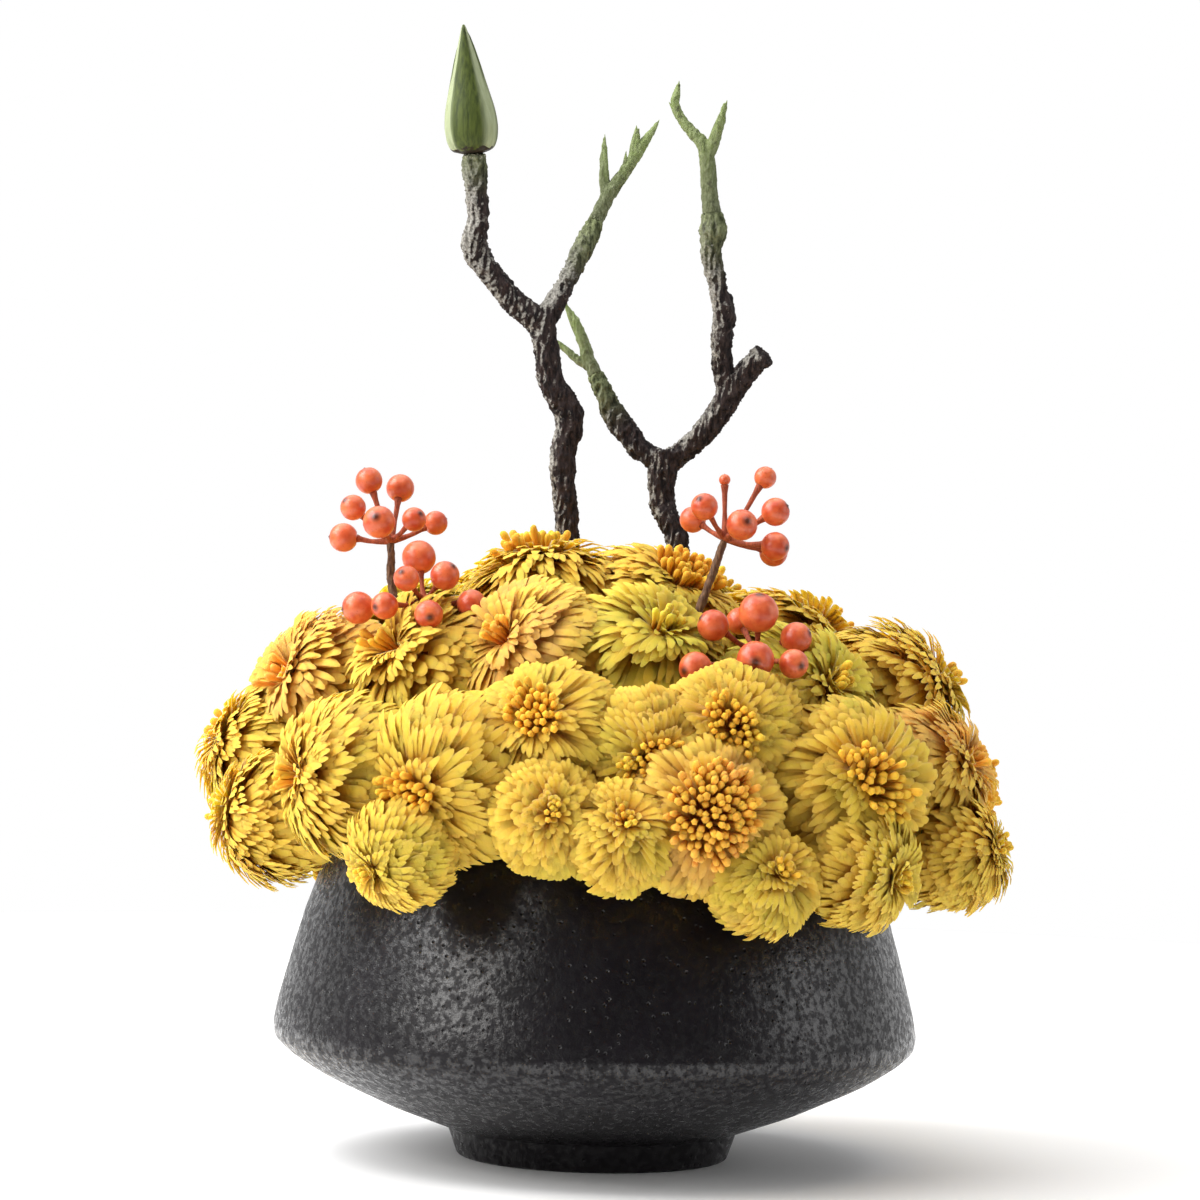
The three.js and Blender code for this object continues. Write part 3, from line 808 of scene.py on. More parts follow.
@dataclass
class WoodyLimbs:
    """Limbs that grow from each other, fused into one skin that is lumpy and fissured."""

    name: str
    limbs: list[list[Knot]]
    finish: Finish
    slot: str
    node: str
    grain: float = 0.45
    lump: float = 0.9
    fissure: float = 0.7
    young_from: list[Knot] = field(default_factory=list)
    # Direction of the lamps: the side that faces it gets grey crust as painted light.
    painted_light_side: Place = (-0.86, -0.3, 0.4)
    # Heights between which the grey crust spreads from the lit side, where it is partly painted light, to all
    # sides as lichen.
    lichen_rise: tuple[float, float] = (232, 272)
    # Torn ends, and how far from them the pale fibres reach.
    frayed: tuple[Place, ...] = ()
    fibres: float = 5.0
    # How much longer than wide the fissures are.
    stretch: float = 3.4

    def fused(self) -> Piece:
        """The limbs as one closed skin.

        Returns:
            The skin.
        """
        rods = [bent_rod(knots, steps=8) for knots in self.limbs]
        skin = joined(self.name, rods)
        finish_with(skin, "REMESH", mode="VOXEL", voxel_size=self.grain * MM)
        finish_with(skin, "SMOOTH", factor=0.5, iterations=3)
        return skin

    def roughened(self, skin: Piece) -> None:
        """Raises lumps and lengthwise fissures on the skin.

        Args:
            skin: The fused limbs.
        """
        bpy.ops.object.empty_add(location=(0, 0, 0))
        stretch = bpy.context.object
        stretch.scale = (1, 1, self.stretch)
        for kind, size, height, guide in (
            ("CLOUDS", 5.0, self.lump, None),
            ("MUSGRAVE", 1.6, self.fissure, stretch),
            ("CLOUDS", 1.1, 0.5 * self.lump, None),
        ):
            texture = bpy.data.textures.new(f"{self.name}_{kind}_{size}", kind)
            texture.noise_scale = size * MM
            if kind == "MUSGRAVE":
                texture.musgrave_type = "RIDGED_MULTIFRACTAL"
            settings = {"texture": texture, "strength": height * MM, "mid_level": 0.5}
            if guide:
                settings |= {"texture_coords": "OBJECT", "texture_coords_object": guide}
            finish_with(skin, "DISPLACE", **settings)
        bpy.data.objects.remove(stretch)

    def build(self) -> None:
        """Makes the limbs and hands them over."""
        skin = self.fused()
        self.roughened(skin)
        points = places(skin) / MM
        young = np.zeros(len(points))
        for *end, reach in self.young_from:
            distance = np.linalg.norm(points - np.array(end), axis=1)
            young = np.maximum(young, 1 - smooth_step(0.1 * reach, reach, distance))
        mark(skin, "young", young)
        high = smooth_step(*self.lichen_rise, points[:, 2])
        # Painted light: grey crust on the side that faces the lamps, added to the lichen that covers all
        # sides higher up. Torn ends are marked for fibres.
        side = np.clip(each(skin.data.vertices, "normal") @ np.array(self.painted_light_side), 0, 1)
        lichen = (0.74 + 0.4 * high) * side + 0.34 * high
        for end in self.frayed:
            lichen[np.linalg.norm(points - np.array(end), axis=1) < self.fibres] = 2.0
        mark(skin, "lichen", lichen)
        hand_over(skin, self.finish, self.slot, self.node)


# Foot, point and half width of each young leaf.
LEAVES: dict[str, list[tuple[Place, Place, float]]] = {
    "left": [
        ((-3.2, 17.4, 289), (-4, 20, 308), 1.5), ((4.2, 20.2, 299), (5.6, 22, 311), 1.7),
        ((6, 21, 302), (12.5, 24, 313), 1.8), ((2.2, 19.2, 296.5), (2.6, 19.4, 303), 1.0),
    ],
    "right_side": [
        ((-8.5, 30, 243), (-15.5, 32, 258), 1.5), ((-10, 30.7, 239.5), (-17.5, 33, 245.5), 1.0),
    ],
    "right_top": [
        ((27.4, 7.6, 302), (32.5, 4, 318), 2.2), ((23.5, 9.2, 307), (18.6, 10.4, 313.5), 1.3),
        ((17.2, 11, 315.5), (18, 12, 324), 1.4), ((18.8, 10.4, 312.5), (15, 11, 317.5), 0.9),
        ((28.5, 8.4, 303.5), (29.2, 9, 311), 1.1),
    ],
}


@dataclass
class Bud:
    """One large pointed bud, wrapped in scales that overlap round it."""

    foot: Place = (-43, -4, 299)
    tip: Place = (-47, -4, 338)
    # Share of the bud's length, and radius there.
    outline: Outline = field(default_factory=lambda: [
        (0.006, 2.4), (0.02, 4.4), (0.06, 6.3), (0.12, 7.2), (0.2, 7.6), (0.28, 7.4), (0.36, 6.9),
        (0.46, 5.9), (0.56, 4.9), (0.68, 3.8), (0.8, 2.6), (0.9, 1.5), (0.97, 0.75), (0.995, 0.3),
    ])
    # Which way the back of each scale faces, in radians, and the share of the length that it reaches.
    scales: tuple[tuple[float, float], ...] = ((-0.15, 0.97), (2.0, 0.93), (4.1, 0.86))
    # Half width of a scale at its foot, and between which turns from its back its edge grows pale.
    half_scale: float = 1.25
    pale_edge: tuple[float, float] = (0.5, 0.95)
    # Heights between which the brown scar at the foot ends.
    scar: tuple[float, float] = (0.6, 2.8)
    sides: int = 48
    lip: float = 0.45

    @staticmethod
    def off_back(points: Array, turn: float) -> Array:
        """How far round the bud each point is from this turn, in radians."""
        return np.abs(np.angle(np.exp(1j * (np.arctan2(points[:, 1], points[:, 0]) - turn))))

    def build(self) -> None:
        """Turns the bud, raises its scales and hands it over."""
        length = math.dist(self.foot, self.tip)
        bud = turned("bud_scales", [(r, share * length) for share, r in self.outline], self.sides)
        with editing():
            bpy.ops.mesh.subdivide(number_cuts=1, smoothness=0)
        for turn, top in self.scales:
            self.raise_scale(bud, turn, top * length)
        finish_with(bud, "SUBSURF", levels=1, render_levels=1)
        points = places(bud) / MM
        edge = np.zeros(len(points))
        for turn, _ in self.scales:
            off = self.off_back(points, turn)
            edge = np.maximum(edge, smooth_step(*self.pale_edge, off) * (off < self.half_scale + 0.05))
        mark(bud, "edge", edge)
        mark(bud, "scar", 1 - smooth_step(*self.scar, points[:, 2]))
        lean(bud, self.foot, self.tip)
        hand_over(bud, BudSkin("bud_skin"), "bud", "branch_left_bud")

    def raise_scale(self, bud: Piece, turn: float, top: float) -> None:
        """Lifts one pointed scale off the bud.

        Args:
            bud: The bud, standing on the origin.
            turn: Which way the scale's back faces, in radians.
            top: Height of the scale's point in millimetres.
        """
        points = places(bud) / MM
        half_width = self.half_scale * np.clip(1 - points[:, 2] / top, 0, 1) ** 0.55
        pick(bud, (self.off_back(points, turn) < half_width) & (points[:, 2] > 2 * self.lip))
        bpy.ops.transform.shrink_fatten(value=self.lip * MM)
        bpy.ops.object.mode_set(mode="OBJECT")


# ---- Berry sprays ----

@dataclass
class Berries:
    """One cluster of berries on thin stalks that meet in a hub."""

    name: str
    node: str
    hub: Place
    balls: list[Knot]
    stalk: float = 0.85
    swell: float = 1.25
    # Whether the cluster sits down among the blooms, which then stay behind its berries.
    nestled: bool = False

    def build(self) -> None:
        """Makes the berries and their stalks and hands them over."""
        pattern = Berries.one_berry()
        fruit = []
        for x, y, z, radius in self.balls:
            focus(pattern)
            bpy.ops.object.duplicate()
            berry = bpy.context.object
            berry.scale = (radius * MM,) * 3
            face_along(berry, Vector((x, y, z)) - Vector(self.hub))
            berry.location = Vector((x, y, z)) * MM
            fruit.append(berry)
        bpy.data.objects.remove(pattern)
        hand_over(joined(f"{self.name}_berries", fruit), BERRY_SKIN, "berry", self.node)
        stalks = [self.one_stalk(ball) for ball in self.balls]
        hand_over(joined(f"{self.name}_stalks", stalks), BERRY_STALK, "spray_stem")

    def one_stalk(self, ball: Knot) -> Piece:
        """A stalk that leaves the hub, sags a little and swells where it meets its berry.

        Args:
            ball: Its berry's middle and radius.

        Returns:
            The stalk.
        """
        x, y, z, radius = ball
        hub, middle = Vector(self.hub), Vector((x, y, z))
        way = (middle - hub).normalized()
        start, end = hub - way * 0.6, middle - way * radius * 0.9
        half, neck = (
            hub.lerp(end, share) + Vector((0, 0, -sag * (end - hub).length))
            for share, sag in ((0.55, 0.06), (0.86, 0.02))
        )
        return bent_rod([
            (*start, self.swell), (*half, self.stalk * 0.8), (*neck, self.stalk), (*end, self.swell),
        ], steps=5, roundness=2)

    @staticmethod
    def one_berry() -> Piece:
        """A berry of radius 1, a little longer than wide, with a dimple at the stalk and a tip remnant.

        Returns:
            The berry, marked with how far along it each vertex is.
        """
        bpy.ops.mesh.primitive_uv_sphere_add(segments=20, ring_count=14, radius=1)
        berry = bpy.context.object
        points = places(berry)
        height = points[:, 2].copy()
        for at_pole, lift in ((height < -0.95, 0.09), (height > 0.99, 0.05)):
            pick(berry, at_pole)
            bpy.ops.transform.translate(value=(0, 0, lift))
        pick(berry, (height > 0.96) & (height < 0.99))
        bpy.ops.transform.resize(value=(0.62, 0.62, 1), center_override=(0, 0, 0))
        bpy.ops.object.mode_set(mode="OBJECT")
        mark(berry, "along", (height + 1) / 2)
        return berry


@dataclass
class Spray:
    """A thin brown stem, which may fork, with its clusters of berries."""

    name: str
    node: str
    limbs: list[list[Knot]]
    clusters: list[Berries]

    def build(self) -> None:
        """Makes the stem and then each cluster."""
        WoodyLimbs(
            f"{self.name}_twig", self.limbs, BROWN_TWIG, "spray_stem", self.node,
            grain=0.3, lump=0.35, fissure=0.25,
        ).build()
        for cluster in self.clusters:
            cluster.build()


SPRAYS: list[Spray] = [
    Spray("left_spray", "left_spray_stem", [
        [(-38, -14, 96, 1.4), (-38, -14, 126, 1.4), (-52, -22, 142, 1.3), (-59, -28, 158, 1.2),
         (-63, -24, 169, 1.2), (-64, -22, 183.5, 1.2)],
        [(-57.5, -26.5, 154, 1.1), (-57, -34, 160, 1.1), (-53, -42, 166.5, 1.1)],
    ], [
        Berries("left_upper", "left_spray_upper_berries", (-64, -22, 183.5), [
            (-71, -20, 201, 4.0), (-62, -12, 199, 4.2), (-75, -30, 193, 3.8), (-78, -22, 184, 4.3),
            (-67, -36, 189, 4.8), (-57, -30, 190, 3.6), (-51, -19, 189, 3.6)]),
        Berries("left_lower", "left_spray_lower_berries", (-53, -42, 166.5), [
            (-55, -38, 179, 5.0), (-58, -51, 173, 3.8), (-47, -46, 174, 4.3), (-39, -48, 166, 4.3),
            (-51, -59, 163, 4.2), (-64, -53, 165, 4.0), (-72, -46, 164, 4.8)]),
    ]),
    Spray("right_spray", "right_spray_stem", [
        [(20, -26, 96, 1.5), (20, -26, 126, 1.5), (24, -32, 150, 1.6), (27, -32, 164, 1.4),
         (31, -31, 176, 1.2), (34.5, -30, 187, 1.1)],
    ], [
        Berries("right_upper", "right_spray_upper_berries", (34.5, -30, 187), [
            (39, -43, 191, 4.6), (34, -28, 204, 1.7), (46, -26, 205, 3.3), (49, -34, 195, 4.2),
            (49, -39, 185, 4.2), (49, -26, 183, 4.2), (28, -40, 196, 4.0), (25, -24, 192, 3.9)]),
    ]),
    Spray("low_spray", "low_spray_stem", [
        [(32, -32, 96, 1.4), (32, -32, 126, 1.4), (38, -44, 142, 1.3), (44, -56, 154.5, 1.2)],
    ], [
        Berries("low", "low_spray_berries", (44, -56, 154.5), [
            (44, -60, 166, 5.8), (31, -60, 162, 4.6), (55, -60, 159, 4.6), (43, -76, 153, 5.4),
            (26, -73, 150, 4.8), (54, -73, 152, 4.3), (39, -46, 163, 4.0)], nestled=True),
    ]),
]


# ---- Blooms ----

class Shade(Enum):
    """Colour of a bloom: the record's slot and the petal finish that goes with it."""

    # Each shade's foot colour is partly painted shade for the deep parts of the head.
    YELLOW = ("petal_yellow", Petal("yellow_petal"))
    ORANGE = ("petal_orange", Petal(
        "orange_petal", foot=seen(210, 132, 48), middle=seen(233, 175, 62), tip=seen(245, 196, 76),
        patch=seen(236, 172, 80), patch_share=0.5))
    GREEN = ("petal_green", Petal(
        "green_petal", foot=seen(202, 140, 42), middle=seen(224, 183, 56), tip=seen(240, 205, 74),
        patch=seen(212, 196, 66), patch_share=0.55))


class Crown(Enum):
    """A bloom's crown: how far it carries club-tipped florets, and how far it nods aside, in degrees."""

    OPEN = (38.0, 9.0)
    NARROW = (21.0, 18.0)
    CLOSED = (7.0, 26.0)

    def __init__(self, width: float, nod: float) -> None:
        """Keeps both angles under their names."""
        self.width = width
        self.nod = nod


Y, O, G = Shade.YELLOW, Shade.ORANGE, Shade.GREEN
WIDE, SLIM, SHUT = Crown.OPEN, Crown.NARROW, Crown.CLOSED
# Centre x, y, z and radius of each bloom, its colour and its crown.
BLOOMS: list[tuple[float, float, float, float, Shade, Crown]] = [
    (-18, -11, 162, 30, Y, SLIM), (14, -10, 159, 30, Y, SLIM), (-81, -19, 138, 27, O, SHUT),
    (-98, -15, 118, 25, Y, SHUT), (-95, -46, 102, 22, Y, SHUT), (-72, -69, 116, 26, Y, SHUT),
    (-49, -42, 144, 28, Y, SHUT), (-43, -80, 117, 28, Y, SLIM), (-56, -93, 96, 18, Y, SHUT),
    (-20, -51, 149, 27, O, SHUT), (-15, -80, 129, 25, Y, SLIM), (-14, -97, 108, 19, Y, SHUT),
    (11, -50, 149, 27, G, SHUT), (12, -84, 125, 22, Y, SLIM), (6, -102, 103, 18, Y, SHUT),
    (28, -93, 109, 26, O, WIDE), (36, -76, 132, 24, Y, SLIM), (46, -97, 91, 18, Y, SHUT),
    (54, -46, 138, 28, G, SHUT), (70, -71, 117, 28, Y, SLIM), (74, -82, 95, 20, Y, SHUT),
    (84, -14, 138, 28, Y, SHUT), (93, -42, 118, 25, O, SHUT), (104, -56, 97, 18, Y, SHUT),
    (99, -20, 97, 21, Y, SHUT),
    (-22, 33, 153, 34, Y, SLIM), (20, 40, 150, 34, Y, WIDE), (-54, 12, 143, 32, G, SHUT),
    (52, 4, 144, 32, Y, SLIM), (-93, 26, 111, 32, Y, SHUT), (94, 18, 110, 31, Y, SLIM),
    (-58, 52, 127, 34, Y, WIDE), (58, 48, 127, 34, O, SLIM), (-2, 72, 131, 34, Y, SHUT),
    (-73, 71, 98, 30, Y, SLIM), (-27, 91, 101, 31, O, SLIM), (24, 92, 101, 31, Y, WIDE),
    (75, 64, 99, 31, G, SLIM),
]
# Where the blooms grow away from.
BLOOM_FOCUS = np.array([0.0, 0.0, 112.0])
# Room that a bloom keeps to what stands beside it.
GAP = 0.3


@dataclass(frozen=True)
class Pattern:
    """A small shape that a bloom repeats, standing on its foot: across, through and along, and its faces."""

    points: Array
    faces: Array

    @classmethod
    def taken_from(cls, piece: Piece) -> "Pattern":
        """Reads the shape of a modelled piece and puts the piece away.

        Args:
            piece: The piece.

        Returns:
            Its shape, in millimetres.
        """
        focus(piece)
        with editing():
            bpy.ops.mesh.quads_convert_to_tris()
        faces = np.array([face.vertices[:] for face in piece.data.polygons])
        pattern = cls(places(piece) / MM, faces)
        bpy.data.objects.remove(piece)
        return pattern

    @classmethod
    def blade(cls, sides: int, rings: Outline, hollow: float) -> "Pattern":
        """Models a blade or a club, ring by ring.

        Args:
            sides: Sides of its section.
            rings: Height from 0 to 1, and half width there.
            hollow: How far the upper side sinks in, as a share of the half width.

        Returns:
            The shape, of height 1.
        """
        piece = turned("pattern", [(half_width, height) for height, half_width in rings], sides)
        if hollow:
            pick(piece, places(piece)[:, 1] > HAIR)
            bpy.ops.transform.resize(value=(1, -hollow, 1), center_override=(0, 0, 0))
            bpy.ops.object.mode_set(mode="OBJECT")
        return cls.taken_from(piece)


@dataclass
class Florets:
    """A crowd of copies of one pattern, each on its own curved line."""

    pattern: Pattern
    start: Array
    bend: Array
    end: Array
    side: Array
    width: Array
    thickness: Array
    tone: Array
    # How far along the petal's colours each copy runs.
    ripe: float = 1.0

    def points(self) -> Array:
        """The vertices of every copy, in the units of its lines.

        Returns:
            A row for each vertex.
        """
        across, through, along = (self.pattern.points[None, :, i, None] for i in range(3))
        start, bend, end, side = (a[:, None, :] for a in (self.start, self.bend, self.end, self.side))
        line = (1 - along) ** 2 * start + 2 * along * (1 - along) * bend + along ** 2 * end
        slope = unit((1 - along) * (bend - start) + along * (end - bend))
        side = unit(side - slope * (side * slope).sum(axis=2, keepdims=True))
        up = np.cross(slope, side)
        return (line + side * across * self.width[:, None, None]
                + up * through * self.thickness[:, None, None]).reshape(-1, 3)

    def faces(self) -> Array:
        """The triangles of every copy."""
        offsets = np.arange(len(self.start)) * len(self.pattern.points)
        return (self.pattern.faces[None] + offsets[:, None, None]).reshape(-1, 3)

    def marks(self) -> tuple[Array, Array]:
        """How far along its copy each vertex is, and its copy's tone."""
        along = np.tile(self.pattern.points[:, 2] * self.ripe, len(self.start))
        return along, np.repeat(self.tone, len(self.pattern.points))


def unit(vectors: Array) -> Array:
    """The same directions with length 1."""
    return vectors / np.maximum(np.linalg.norm(vectors, axis=-1, keepdims=True), 1e-9)


def mesh_of(name: str, crowds: list[Florets]) -> Piece:
    """One mesh of several crowds, marked with along and tone.

    Args:
        name: The mesh's name.
        crowds: The crowds.

    Returns:
        The piece.
    """
    points = np.concatenate([crowd.points() for crowd in crowds]) * MM
    shift = np.cumsum([0] + [len(c.start) * len(c.pattern.points) for c in crowds])
    faces = np.concatenate([crowd.faces() + first for crowd, first in zip(crowds, shift)])
    mesh = bpy.data.meshes.new(name)
    mesh.vertices.add(len(points))
    mesh.vertices.foreach_set("co", points.ravel())
    mesh.loops.add(faces.size)
    mesh.loops.foreach_set("vertex_index", faces.ravel().astype(np.int32))
    mesh.polygons.add(len(faces))
    mesh.polygons.foreach_set("loop_start", np.arange(len(faces), dtype=np.int32) * 3)
    mesh.update(calc_edges=True)
    piece = bpy.data.objects.new(name, mesh)
    bpy.context.collection.objects.link(piece)
    along, tone = (np.concatenate(values) for values in zip(*(crowd.marks() for crowd in crowds)))
    mark(piece, "along", along)
    mark(piece, "tone", tone)
    return piece


class Patterns:
    """The petal, the club-tipped floret and the sepal that every bloom repeats."""

    def __init__(self) -> None:
        """Models each shape once."""
        petal_rings = [(0, 0.35), (0.45, 0.86), (0.87, 1.0), (0.957, 0.72), (1, 0.28)]
        club_rings = [(0, 0.5), (0.6, 0.48), (0.78, 0.74), (0.9, 1.0), (0.97, 0.8), (1, 0.3)]
        sepal_rings = [(0, 0.8), (0.3, 1.0), (0.7, 0.6), (1, 0.06)]
        self.petal = Pattern.blade(4, petal_rings, hollow=0.12)
        self.club = Pattern.blade(5, club_rings, hollow=0)
        self.sepal = Pattern.blade(4, sepal_rings, hollow=0.35)


@dataclass
class Bloom:
    """One fringed head: whorls of narrow petals in loose fans round a crown of club-tipped florets."""

    number: int
    centre: Array
    radius: float
    shade: Shade
    crown: Crown
    seed: int = 20

    # Degrees between whorls, and from the face to the last one.
    WHORL_STEP = 18
    LAST_WHORL = 122
    # Degrees from the crown's edge to the first whorl.
    CROWN_GAP = 10
    # How petals that meet a neighbour turn up: degrees at a time, how often, and how near to the face.
    TURN_UP = 6
    TURNS_UP = 8
    UPRIGHT = 30
    # Millimetres that a fan takes up along its whorl.
    FAN_WIDTH = 17
    # Share of the radius between petals or clubs, and its least and greatest value in millimetres.
    PETAL_PITCH = (0.052, 1.15, 1.55)
    CLUB_PITCH = (0.085, 1.8, 2.3)
    # Shares of the radius: where petals leave the heart, its size, and the least reach beside a berry.
    ROOT = 0.34
    HEART = 0.5
    LEAST = 0.2
    # Degrees: how far fans tilt and wave, how far their ends hang down, and how far single petals stray.
    TILT = 6.5
    SWING = 6
    DROOP = 90
    STRAY = 1
    # Degrees that a petal arches over, with the spread, and the spread of its roll.
    ARCH = (32, 5)
    ROLL = 3
    # Where along its arch a petal is kept clear of berries too.
    CLEAR_AT = (0.35, 0.7)
    # Least and greatest width of a petal or a club, as a share of the usual one.
    PETAL_WIDTHS = (0.85, 1.15)
    CLUB_WIDTHS = (0.85, 1.12)
    # Millimetres through a petal and a sepal.
    PETAL_DEPTH = 0.32
    SEPAL_DEPTH = 0.5
    SEPALS = 9

    def __post_init__(self) -> None:
        """Works out which way the bloom grows, and which way its crown has turned."""
        self.rng = np.random.default_rng(self.seed * 100 + self.number)
        self.axis = unit(self.centre - BLOOM_FOCUS)
        nod = math.radians(self.crown.nod * self.rng.uniform(0.5, 1))
        round_axis = self.rng.uniform(0, 2 * math.pi)
        right, up = self.frame(self.axis)
        aside = math.cos(round_axis) * right + math.sin(round_axis) * up
        self.face = math.cos(nod) * self.axis + math.sin(nod) * aside
        self.right, self.up = self.frame(self.face)
        self.last_whorl = self.LAST_WHORL + math.degrees(nod) / 2
        self.lie = float(self.rng.uniform(0, math.pi))
        self.draw = float(self.rng.uniform(0.1, 0.45)) * (0.4 if self.crown is Crown.OPEN else 1)
        self.wave = 0.5 * self.draw
        self.walls: list[tuple[Array, float]] = []
        self.knobs: list[tuple[Array, float]] = []

    def keep_clear_of(self, point: Array, clearance: float) -> None:
        """Notes a wall through a point, square to the way there, that the bloom stays behind.

        Args:
            point: The nearest point of what stands in the way.
            clearance: How far before it the wall stands. Below 0 it stands beyond the point.
        """
        way = point - self.centre
        distance = float(np.linalg.norm(way))
        if distance - clearance < self.radius:
            self.walls.append((way / distance, distance - clearance))

    def pass_by(self, point: Array, girth: float) -> None:
        """Notes a small round thing that petals end before or pass by.

        Args:
            point: Its middle.
            girth: Its radius, with the gap that is kept round it.
        """
        way = point - self.centre
        if float(np.linalg.norm(way)) - girth < self.radius:
            self.knobs.append((way, girth))

    @staticmethod
    def frame(ahead: Array) -> tuple[Array, Array]:
        """Two directions that are square to this one and to each other.

        Args:
            ahead: The direction, of length 1.

        Returns:
            The two directions.
        """
        helper = np.array([0.0, 0.0, 1.0]) if abs(ahead[2]) < 0.9 else np.array([0.0, 1.0, 0.0])
        right = unit(np.cross(helper, ahead))
        return right, np.cross(ahead, right)

    def spaced(self, share: float, least: float, most: float) -> float:
        """A share of the radius, kept between two lengths."""
        return float(np.clip(share * self.radius, least, most))

    def toward(self, polar: Array, turn: Array) -> Array:
        """Directions at these angles from the face and round it, on a head drawn out along one line.

        Args:
            polar: Each one's angle from the face.
            turn: Its angle round the face.

        Returns:
            A direction of length 1 for each.
        """
        long, wide = polar * np.cos(turn - self.lie), polar * np.sin(turn - self.lie)
        drawn = self.draw * long / (np.abs(long) + 0.35)
        long = long + drawn + self.wave * np.sin(3.1 * wide + 5 * self.draw)
        wide = wide + self.wave * np.sin(2.7 * long + 9 * self.draw)
        polar, turn = np.hypot(long, wide), np.arctan2(wide, long) + self.lie
        flat = np.cos(turn)[:, None] * self.right + np.sin(turn)[:, None] * self.up
        return np.cos(polar)[:, None] * self.face + np.sin(polar)[:, None] * flat

    def at(self, polar: Array, turn: Array, reach: Array | float) -> Array:
        """Places at these angles from the face and round it, this far from the centre."""
        return self.centre + self.toward(polar, turn) * np.reshape(reach, (-1, 1))

    def around(self, turn: Array) -> Array:
        """Directions along the rim of the face at these angles round it."""
        return -np.sin(turn)[:, None] * self.right + np.cos(turn)[:, None] * self.up

    def gap(self, directions: Array) -> Array:
        """How far the bloom may reach in each direction before it meets a berry or a thin stem.

        Args:
            directions: Directions from the bloom's centre, of length 1.

        Returns:
            A length in millimetres for each direction.
        """
        limit = np.full(len(directions), self.radius)
        for way, girth in self.knobs:
            ahead = directions @ way
            depth = girth ** 2 - (way @ way - ahead ** 2)
            meets = (ahead > 0) & (depth > 0)
            limit = np.where(meets, np.minimum(limit, ahead - np.sqrt(np.maximum(depth, 0))), limit)
        return np.maximum(limit, self.LEAST * self.radius)

    def room(self, directions: Array) -> Array:
        """How far the bloom may reach in each direction.

        Args:
            directions: Directions from the bloom's centre, of length 1.

        Returns:
            A length in millimetres for each direction.
        """
        limit = self.gap(directions)
        for normal, distance in self.walls:
            slope = directions @ normal
            limit = np.where(slope > 1e-6, np.minimum(limit, distance / np.maximum(slope, 1e-6)), limit)
        return limit

    def petals(self, pattern: Pattern, broad: float = 1.0, wild: float = 1.0, level: float = 1.0,
               behind: float = 0.0) -> Florets:
        """Wide whorls of narrow petals, side by side in ruffled fans with toothed rims.

        Args:
            pattern: The petal.
            broad: How much broader than a fringe petal each one is.
            wild: How much the fans differ from each other.
            level: Share of the radius that they reach.
            behind: Degrees by which the whorls stand further from the face.

        Returns:
            The petals.
        """
        pitch = self.spaced(*self.PETAL_PITCH) * broad
        angles = (self.TILT, self.SWING, self.DROOP, self.STRAY)
        tilted, swing, droop, stray = (math.radians(angle) for angle in angles)
        whorls = []
        first = angle = self.crown.width + self.CROWN_GAP + behind
        while angle < self.last_whorl:
            around = 2 * math.pi * self.radius * 0.95 * math.sin(math.radians(angle))
            count = max(9, round(around / pitch))
            fans = max(3, round(around / self.FAN_WIDTH))
            turns = (np.arange(count) + 0.5) * 2 * math.pi / count
            fan = np.minimum((turns / (2 * math.pi) * fans).astype(int), fans - 1)
            across = turns / (2 * math.pi) * fans - fan - 0.5
            tilt = np.clip(self.rng.normal(0, tilted * wild, fans), -0.2, 0.2)[fan]
            ruffle = np.sin(across * self.rng.uniform(6, 12, fans)[fan] + self.rng.uniform(0, 6.3, fans)[fan])
            inner = 0.12 * max(0.0, 1 - (angle - first) / 26)
            uneven = self.rng.uniform(0, 0.08, fans)[fan] + across ** 4 - 0.03 * ruffle
            reach = level - inner - wild * uneven
            lean = wild * (swing * ruffle - droop * across ** 4)
            whorls.append((
                math.radians(angle) + tilt + lean + self.rng.normal(0, stray, count),
                turns + wild * across * 0.3 * 2 * math.pi / fans + self.rng.uniform(0, 6.3)
                + self.rng.normal(0, 0.16 * pitch / self.radius, count),
                reach * (1 - self.rng.uniform(0, 0.05, count)),
                0.55 * self.rng.uniform(0, 1, fans)[fan] + 0.45 * self.rng.uniform(0, 1, count),
            ))
            angle += self.WHORL_STEP
        polar, turn, share, tone = (np.concatenate(part) for part in zip(*whorls))
        polar, kept = self.squeezed(polar, turn)
        return self.grown(pattern, polar[kept], turn[kept], share[kept], tone[kept], pitch)

    def squeezed(self, polar: Array, turn: Array) -> tuple[Array, Array]:
        """Turns petals that meet a neighbour up towards the face, and thins them out there.

        Args:
            polar: Each petal's angle from the face.
            turn: Its angle round the face.

        Returns:
            The new angles from the face, and which petals stay.
        """
        wanted = polar.copy()
        step, upright = math.radians(self.TURN_UP), math.radians(self.UPRIGHT)
        for _ in range(self.TURNS_UP):
            short = self.room(self.toward(polar, turn)) < 0.8 * self.radius
            polar = np.where(short & (polar > upright), polar - step, polar)
        moved = wanted - polar
        room = self.room(self.toward(polar, turn))
        kept = (self.rng.uniform(size=len(polar)) > moved / math.radians(70)) & (room > 0.5 * self.radius)
        return polar, kept

